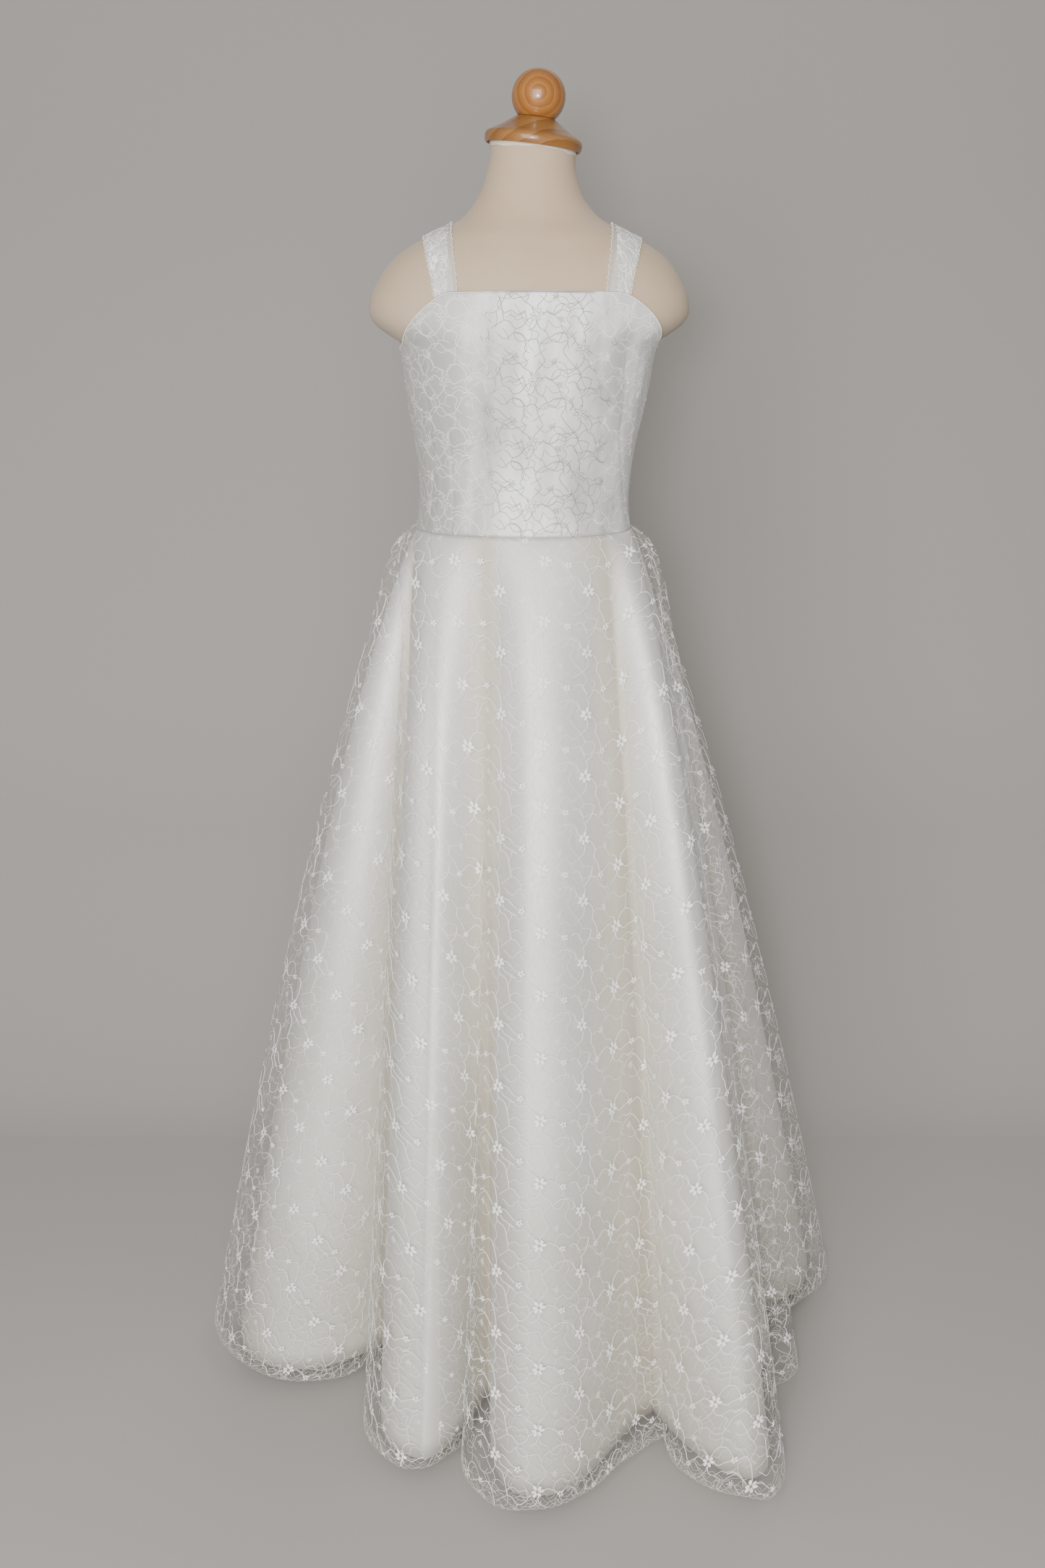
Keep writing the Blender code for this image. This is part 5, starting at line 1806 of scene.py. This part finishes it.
# Soft ridges and troughs of the net, then of the satin below it
NET_CREASES = (
    Crease(1.30, 1.12, 0.02, 0.60, 0.05, 3.2),
    Crease(1.54, 1.44, 0.05, 0.50, 0.10, 1.6),
    Crease(1.80, 1.86, 0.00, 0.42, 0.045, -2.2),
    Crease(2.30, 2.22, 0.08, 0.70, 0.05, -2.0),
    Crease(2.57, 2.64, 0.30, 1.05, 0.14, 1.6),
    Crease(2.76, 2.84, 0.02, 0.50, 0.04, 2.2),
    Crease(3.22, 3.10, 0.01, 0.55, 0.06, 3.0),
    Crease(3.60, 3.72, 0.03, 0.90, 0.06, -2.4),
    Crease(3.85, 3.90, 0.01, 0.34, 0.05, 2.6),
    Crease(4.45, 4.52, 0.05, 0.75, 0.10, 2.4),
    Crease(5.25, 5.15, 0.02, 0.62, 0.06, 3.0),
    Crease(5.62, 5.75, 0.10, 0.95, 0.07, -2.4),
    Crease(6.40, 6.48, 0.03, 0.70, 0.07, 2.6),
    Crease(6.80, 6.72, 0.00, 0.40, 0.05, -2.0),
    Crease(7.35, 7.22, 0.06, 0.80, 0.07, 2.8),
    Crease(7.70, 7.80, 0.02, 0.45, 0.05, 2.2),
    Crease(8.45, 8.60, 0.05, 0.90, 0.08, -2.6),
    Crease(8.75, 8.70, 0.01, 0.50, 0.05, 2.4),
    Crease(9.30, 9.20, 0.04, 0.66, 0.06, 3.0),
    Crease(9.66, 9.78, 0.02, 0.85, 0.07, -2.0),
    Crease(0.30, 0.18, 0.02, 0.60, 0.06, 2.8),
    Crease(0.62, 0.70, 0.05, 0.90, 0.07, -2.4),
    Crease(0.85, 0.90, 0.01, 0.38, 0.05, 2.4),
)
SATIN_CREASES = (
    Crease(1.50, 1.50, 0.05, 1.45, 0.10, -5.0),
    Crease(1.42, 1.30, 0.05, 0.75, 0.20, 1.8),
    Crease(1.72, 1.80, 0.10, 0.70, 0.14, -1.2),
    Crease(2.34, 2.20, 0.08, 0.62, 0.16, -1.4),
    Crease(2.62, 2.70, 0.10, 0.80, 0.24, 1.6),
    Crease(3.42, 3.28, 0.05, 0.66, 0.18, 1.6),
    Crease(4.50, 4.40, 0.10, 0.80, 0.16, 1.8),
    Crease(5.40, 5.30, 0.05, 0.85, 0.12, 2.2),
    Crease(6.55, 6.65, 0.08, 0.80, 0.12, -1.8),
    Crease(7.45, 7.35, 0.05, 0.75, 0.12, 1.8),
    Crease(8.55, 8.65, 0.10, 0.90, 0.13, -1.6),
    Crease(9.45, 9.30, 0.05, 0.80, 0.12, 2.0),
    Crease(0.45, 0.35, 0.05, 0.85, 0.12, 2.0),
)
# Angle and height of the bodice's beads
BODICE_BEADS = (
    (22.7, 1.0286), (36.0, 0.9890), (8.4, 1.0040), (-20.0, 0.8865), (16.0, 0.9420),
    (-11.5, 1.0316), (-38.0, 0.9600), (-27.0, 0.9240), (44.0, 0.9180), (3.0, 0.8620),
    (29.0, 0.8780), (-46.0, 0.9030), (58.0, 0.9720), (-64.0, 0.9480), (150.0, 0.9900),
    (168.0, 0.9150), (196.0, 1.0040), (214.0, 0.9300), (122.0, 0.9040), (238.0, 0.9560),
)
# Height, swing, wave length and start of each cord of the hem, in millimetres
HEM_WAVES = (
    (1.2, 1.0, 7.5, 0.0), (2.8, 1.7, 12.0, 5.0), (5.2, 2.4, 9.5, 2.0), (8.2, 3.0, 17.0, 11.0),
    (11.6, 3.2, 13.0, 3.0), (14.8, 3.0, 21.0, 17.0),
)


class DressBuilder:
    """Builds the form, the dress and its embroidery in order."""

    # The share of a bodice panel's rectangle that its cloth fills
    BODICE_FILL = 0.85
    BEAD_RADIUS = 0.0009
    BEAD_LIFT = 0.0012
    # First and last angle of the neckline's cord
    NECKLINE_SPAN = (-93.0, 266.0)
    # Radii of the cords
    NECKLINE_CORD = 0.0004
    COIL_CORD = 0.0002
    PICOT_CORD = 0.00032
    HEM_CORD = 0.00022
    # How far the embroidery stands off each cloth's middle
    BODICE_LACE = 0.0007
    STRAP_LACE = 0.0006
    SKIRT_LACE = 0.0002
    # How far from its middle a strap turns sheerer, towards the neck
    STRAP_MARGIN = 0.0072
    # Where each cloth's first flower lies, in millimetres
    BODICE_SHIFT = (-34.0, -8.0)
    BODICE_WEB_SHIFT = (3.0, 16.0)
    SKIRT_SHIFT = (-33.0, 49.0)
    SKIRT_WEB_SHIFT = (11.0, 21.0)
    STRAP_LAYERS = (
        (LaceLayer.BODICE, (-6.0, 4.0)), (LaceLayer.SKIRT, (31.0, 22.0)), (LaceLayer.SKIRT, (75.0, 9.0)),
        (LaceLayer.WEB, (52.0, 31.0)), (LaceLayer.WEB, (13.0, 44.0)), (LaceLayer.BODICE, (98.0, 19.0)),
    )
    # How far down the skirt the extra web starts, in millimetres
    LOW_WEB_FROM = 640.0

    def __init__(self) -> None:
        """Make the finishes that pieces share."""
        self.satin = SatinFinish().build()
        self.net = NetFinish().build()
        self.mounted = MountedSatinFinish().build()
        self.thread = ThreadFinish().build()
        # The bodice's threads carry painted shade, dark grey near the front's middle
        self.bodice_thread = ThreadFinish(
            (0.93, 0.925, 0.91, 1.0), (0.86, 0.855, 0.835, 1.0), "bodice_thread",
            middle=(0.27, 0.255, 0.235, 1.0),
        ).build()
        self.web_thread = ThreadFinish(
            (0.74, 0.72, 0.68, 1.0), (0.64, 0.62, 0.575, 1.0), "web_thread"
        ).build()
        # Hem cords in dull grey-brown, darker than the thread: partly painted shade along the hem
        self.hem_thread = ThreadFinish(
            (0.56, 0.53, 0.475, 1.0), (0.44, 0.415, 0.37, 1.0), "hem_thread"
        ).build()
        self.bead = BeadFinish().build()
        self.repeat = LaceRepeat()
        self.lace = {layer: self.repeat.shape(layer) for layer in LaceLayer}

    def build_stand(self) -> bpy.types.Object:
        """Build the form, its neck pieces and the stand's finishes, and return the torso."""
        form = FormTorso()
        jersey = JerseyFinish().build()
        torso = dress_piece(form.build(), jersey, "jersey", "form_torso")
        edge = JerseyFinish((0.68, 0.62, 0.53, 1.0), (0.62, 0.56, 0.47, 1.0)).build()
        dress_piece(form.build_edge(), edge, "jersey")
        neck = NeckPieces()
        cap_wood = WoodFinish(
            (0.03, 0.0, NECK_TOP - 0.06), (0.34, 0.17, 0.055, 1.0), (0.16, 0.058, 0.011, 1.0),
            pitch=0.005, varnish=0.35, name="cap_wood",
        ).build()
        dress_piece(neck.build_cap(), cap_wood, "honey_wood", "neck_cap")
        ball_wood = WoodFinish((0.0095, 0.0, NECK_TOP + 0.0405), name="ball_wood").build()
        dress_piece(neck.build_ball(), ball_wood, "honey_wood", "finial_ball")
        base_wood = WoodFinish((0.0, 0.0, -0.4), pitch=0.006, varnish=0.3, name="base_wood").build()
        steel = MetalFinish("painted_steel", (0.60, 0.58, 0.55, 1.0), 0.5, 0.42).build()
        zip_metal = MetalFinish("zip_metal", (0.74, 0.74, 0.73, 1.0), 1.0, 0.28).build()
        for node, finish in (("stand_base", base_wood), ("stand_pole", steel), ("zip_slider", zip_metal),
                             ("zip_pull_tab", zip_metal)):
            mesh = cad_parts[node].data
            mesh.materials.clear()
            mesh.materials.append(finish)
        return torso

    def build_bodice(self, torso: bpy.types.Object) -> None:
        """Build the bodice, its embroidery, its bound edge and the straps."""
        bodice = Bodice()
        for node in bodice.spans:
            piece = dress_piece(bodice.build_panel(node), self.mounted, "embroidered_net", node)
            flat_map = bodice.lace_map(node)
            places = tiling(self.repeat, flat_map, self.BODICE_SHIFT)
            more = tiling(self.repeat, flat_map, self.BODICE_WEB_SHIFT)
            shapes = ((self.lace[LaceLayer.BODICE], places), (self.lace[LaceLayer.WEB], more))
            lace = lay_pieces("lace_" + node, shapes, flat_map, bodice.under_edge, self.BODICE_LACE)
            dress_piece(lace, self.bodice_thread, "embroidered_net")
        angles, heights = np.array(BODICE_BEADS).T
        seats = bodice.surface(angles, heights) + surface_lift(angles, self.BEAD_LIFT)
        dress_piece(scatter_beads("bodice_beads", seats, self.BEAD_RADIUS), self.bead, "embroidered_net")
        path = bodice.edge_path(*self.NECKLINE_SPAN, drop=0.0010, out=0.0007)
        cord = join_tubes("neckline_cord", [path], self.NECKLINE_CORD)
        dress_piece(cord, self.bodice_thread, "embroidered_net")
        coil = join_tubes("zip_coil", [bodice.zip_coil()], self.COIL_CORD, 5)
        dress_piece(coil, self.bodice_thread, "embroidered_net")
        straps = Straps(torso)
        for strap, margin in zip(straps.straps, (self.STRAP_MARGIN, -self.STRAP_MARGIN)):
            points, normals = straps.surface(strap)
            flat_map = FlatMap(points, normals, straps.columns // 2)
            cloth = make_cloth(strap.name + "_cloth", points, normals, flat_map.flat, straps.wall)
            finish = NetFinish(
                (0.84, 0.82, 0.78, 1.0), cover=0.46, web_cover=0.35, margin=margin,
                name=strap.name + "_net", webbed=True,
            ).build()
            dress_piece(cloth, finish, "embroidered_net", strap.name)
            width, length, area = measure_cloth(strap.name, points)
            shapes = [
                (self.lace[layer], tiling(self.repeat, flat_map, shift))
                for layer, shift in self.STRAP_LAYERS
            ]
            dense = partial(strap.outside_margin, float(np.sign(margin)))
            lace = lay_pieces("lace_" + strap.name, shapes, flat_map, dense, self.STRAP_LACE)
            dress_piece(lace, self.thread, "embroidered_net")
            paths = straps.picots(points, normals)
            picots = join_tubes(strap.name + "_picots", paths, self.PICOT_CORD)
            dress_piece(picots, self.thread, "embroidered_net")

    def build_skirts(self) -> None:
        """Build the satin skirt, the net over it, its embroidery, hem border and beads."""
        satin_form = SkirtForm(
            SATIN_FLUTES, SATIN_WAIST_OFFSET, SATIN_HEM, False, 4, 64, SATIN_CREASES, crest_power=1.22
        )
        satin = SkirtPanels(satin_form, "satin_skirt", "skirt", 0.001)
        for panel in Panel:
            flat_map = satin.flat_map(panel)
            cloth = satin.build(panel, flat_map)
            piece = dress_piece(cloth, self.satin, "ivory_satin", satin.nodes(panel))
            width, length, area = measure_cloth(piece.name, satin.surfaces[panel][0])
        net_form = SkirtForm(NET_FLUTES, NET_WAIST_OFFSET, NET_HEM, True, 4, 80, NET_CREASES, 0.0042)
        net = SkirtPanels(net_form, "net_skirt", "overskirt", 0.0)
        for panel in Panel:
            flat_map = net.flat_map(panel)
            cloth = net.build(panel, flat_map)
            piece = dress_piece(cloth, self.net, "embroidered_net", net.nodes(panel))
            width, length, area = measure_cloth(piece.name, net.surfaces[panel][0])
            places = tiling(self.repeat, flat_map, self.SKIRT_SHIFT)
            low = tiling(self.repeat, flat_map, self.SKIRT_WEB_SHIFT)
            low = low[low[:, 1] > self.LOW_WEB_FROM]
            for name, layer, where, thread in (("lace", LaceLayer.SKIRT, places, self.thread),
                                               ("web", LaceLayer.WEB, low, self.web_thread)):
                shapes = ((self.lace[layer], where),)
                made = f"{name}_skirt_{panel.label}"
                lace = lay_pieces(made, shapes, flat_map, None, self.SKIRT_LACE)
                dress_piece(lace, thread, "embroidered_net")
            seats = np.concatenate([places[::3] + floret[:2] for floret in self.repeat.florets]) * MM
            points, inside = flat_map.lay(seats, np.full(len(seats), self.BEAD_RADIUS))
            beads = scatter_beads("skirt_beads_" + panel.label, points[inside], self.BEAD_RADIUS)
            dress_piece(beads, self.bead, "embroidered_net")
            cords = hem_cords(net.flat_map(panel, True), HEM_WAVES)
            border = join_tubes("hem_border_" + panel.label, cords, self.HEM_CORD, 5)
            dress_piece(border, self.hem_thread, "embroidered_net")


def main() -> None:
    """Build the scene's pieces in order."""
    logging.basicConfig(level=logging.INFO, format="%(message)s")
    studio = Studio()
    studio.build_camera()
    studio.build_backdrop()
    studio.build_lights()
    builder = DressBuilder()
    torso = builder.build_stand()
    builder.build_bodice(torso)
    builder.build_skirts()


if __name__ == "__main__":
    main()
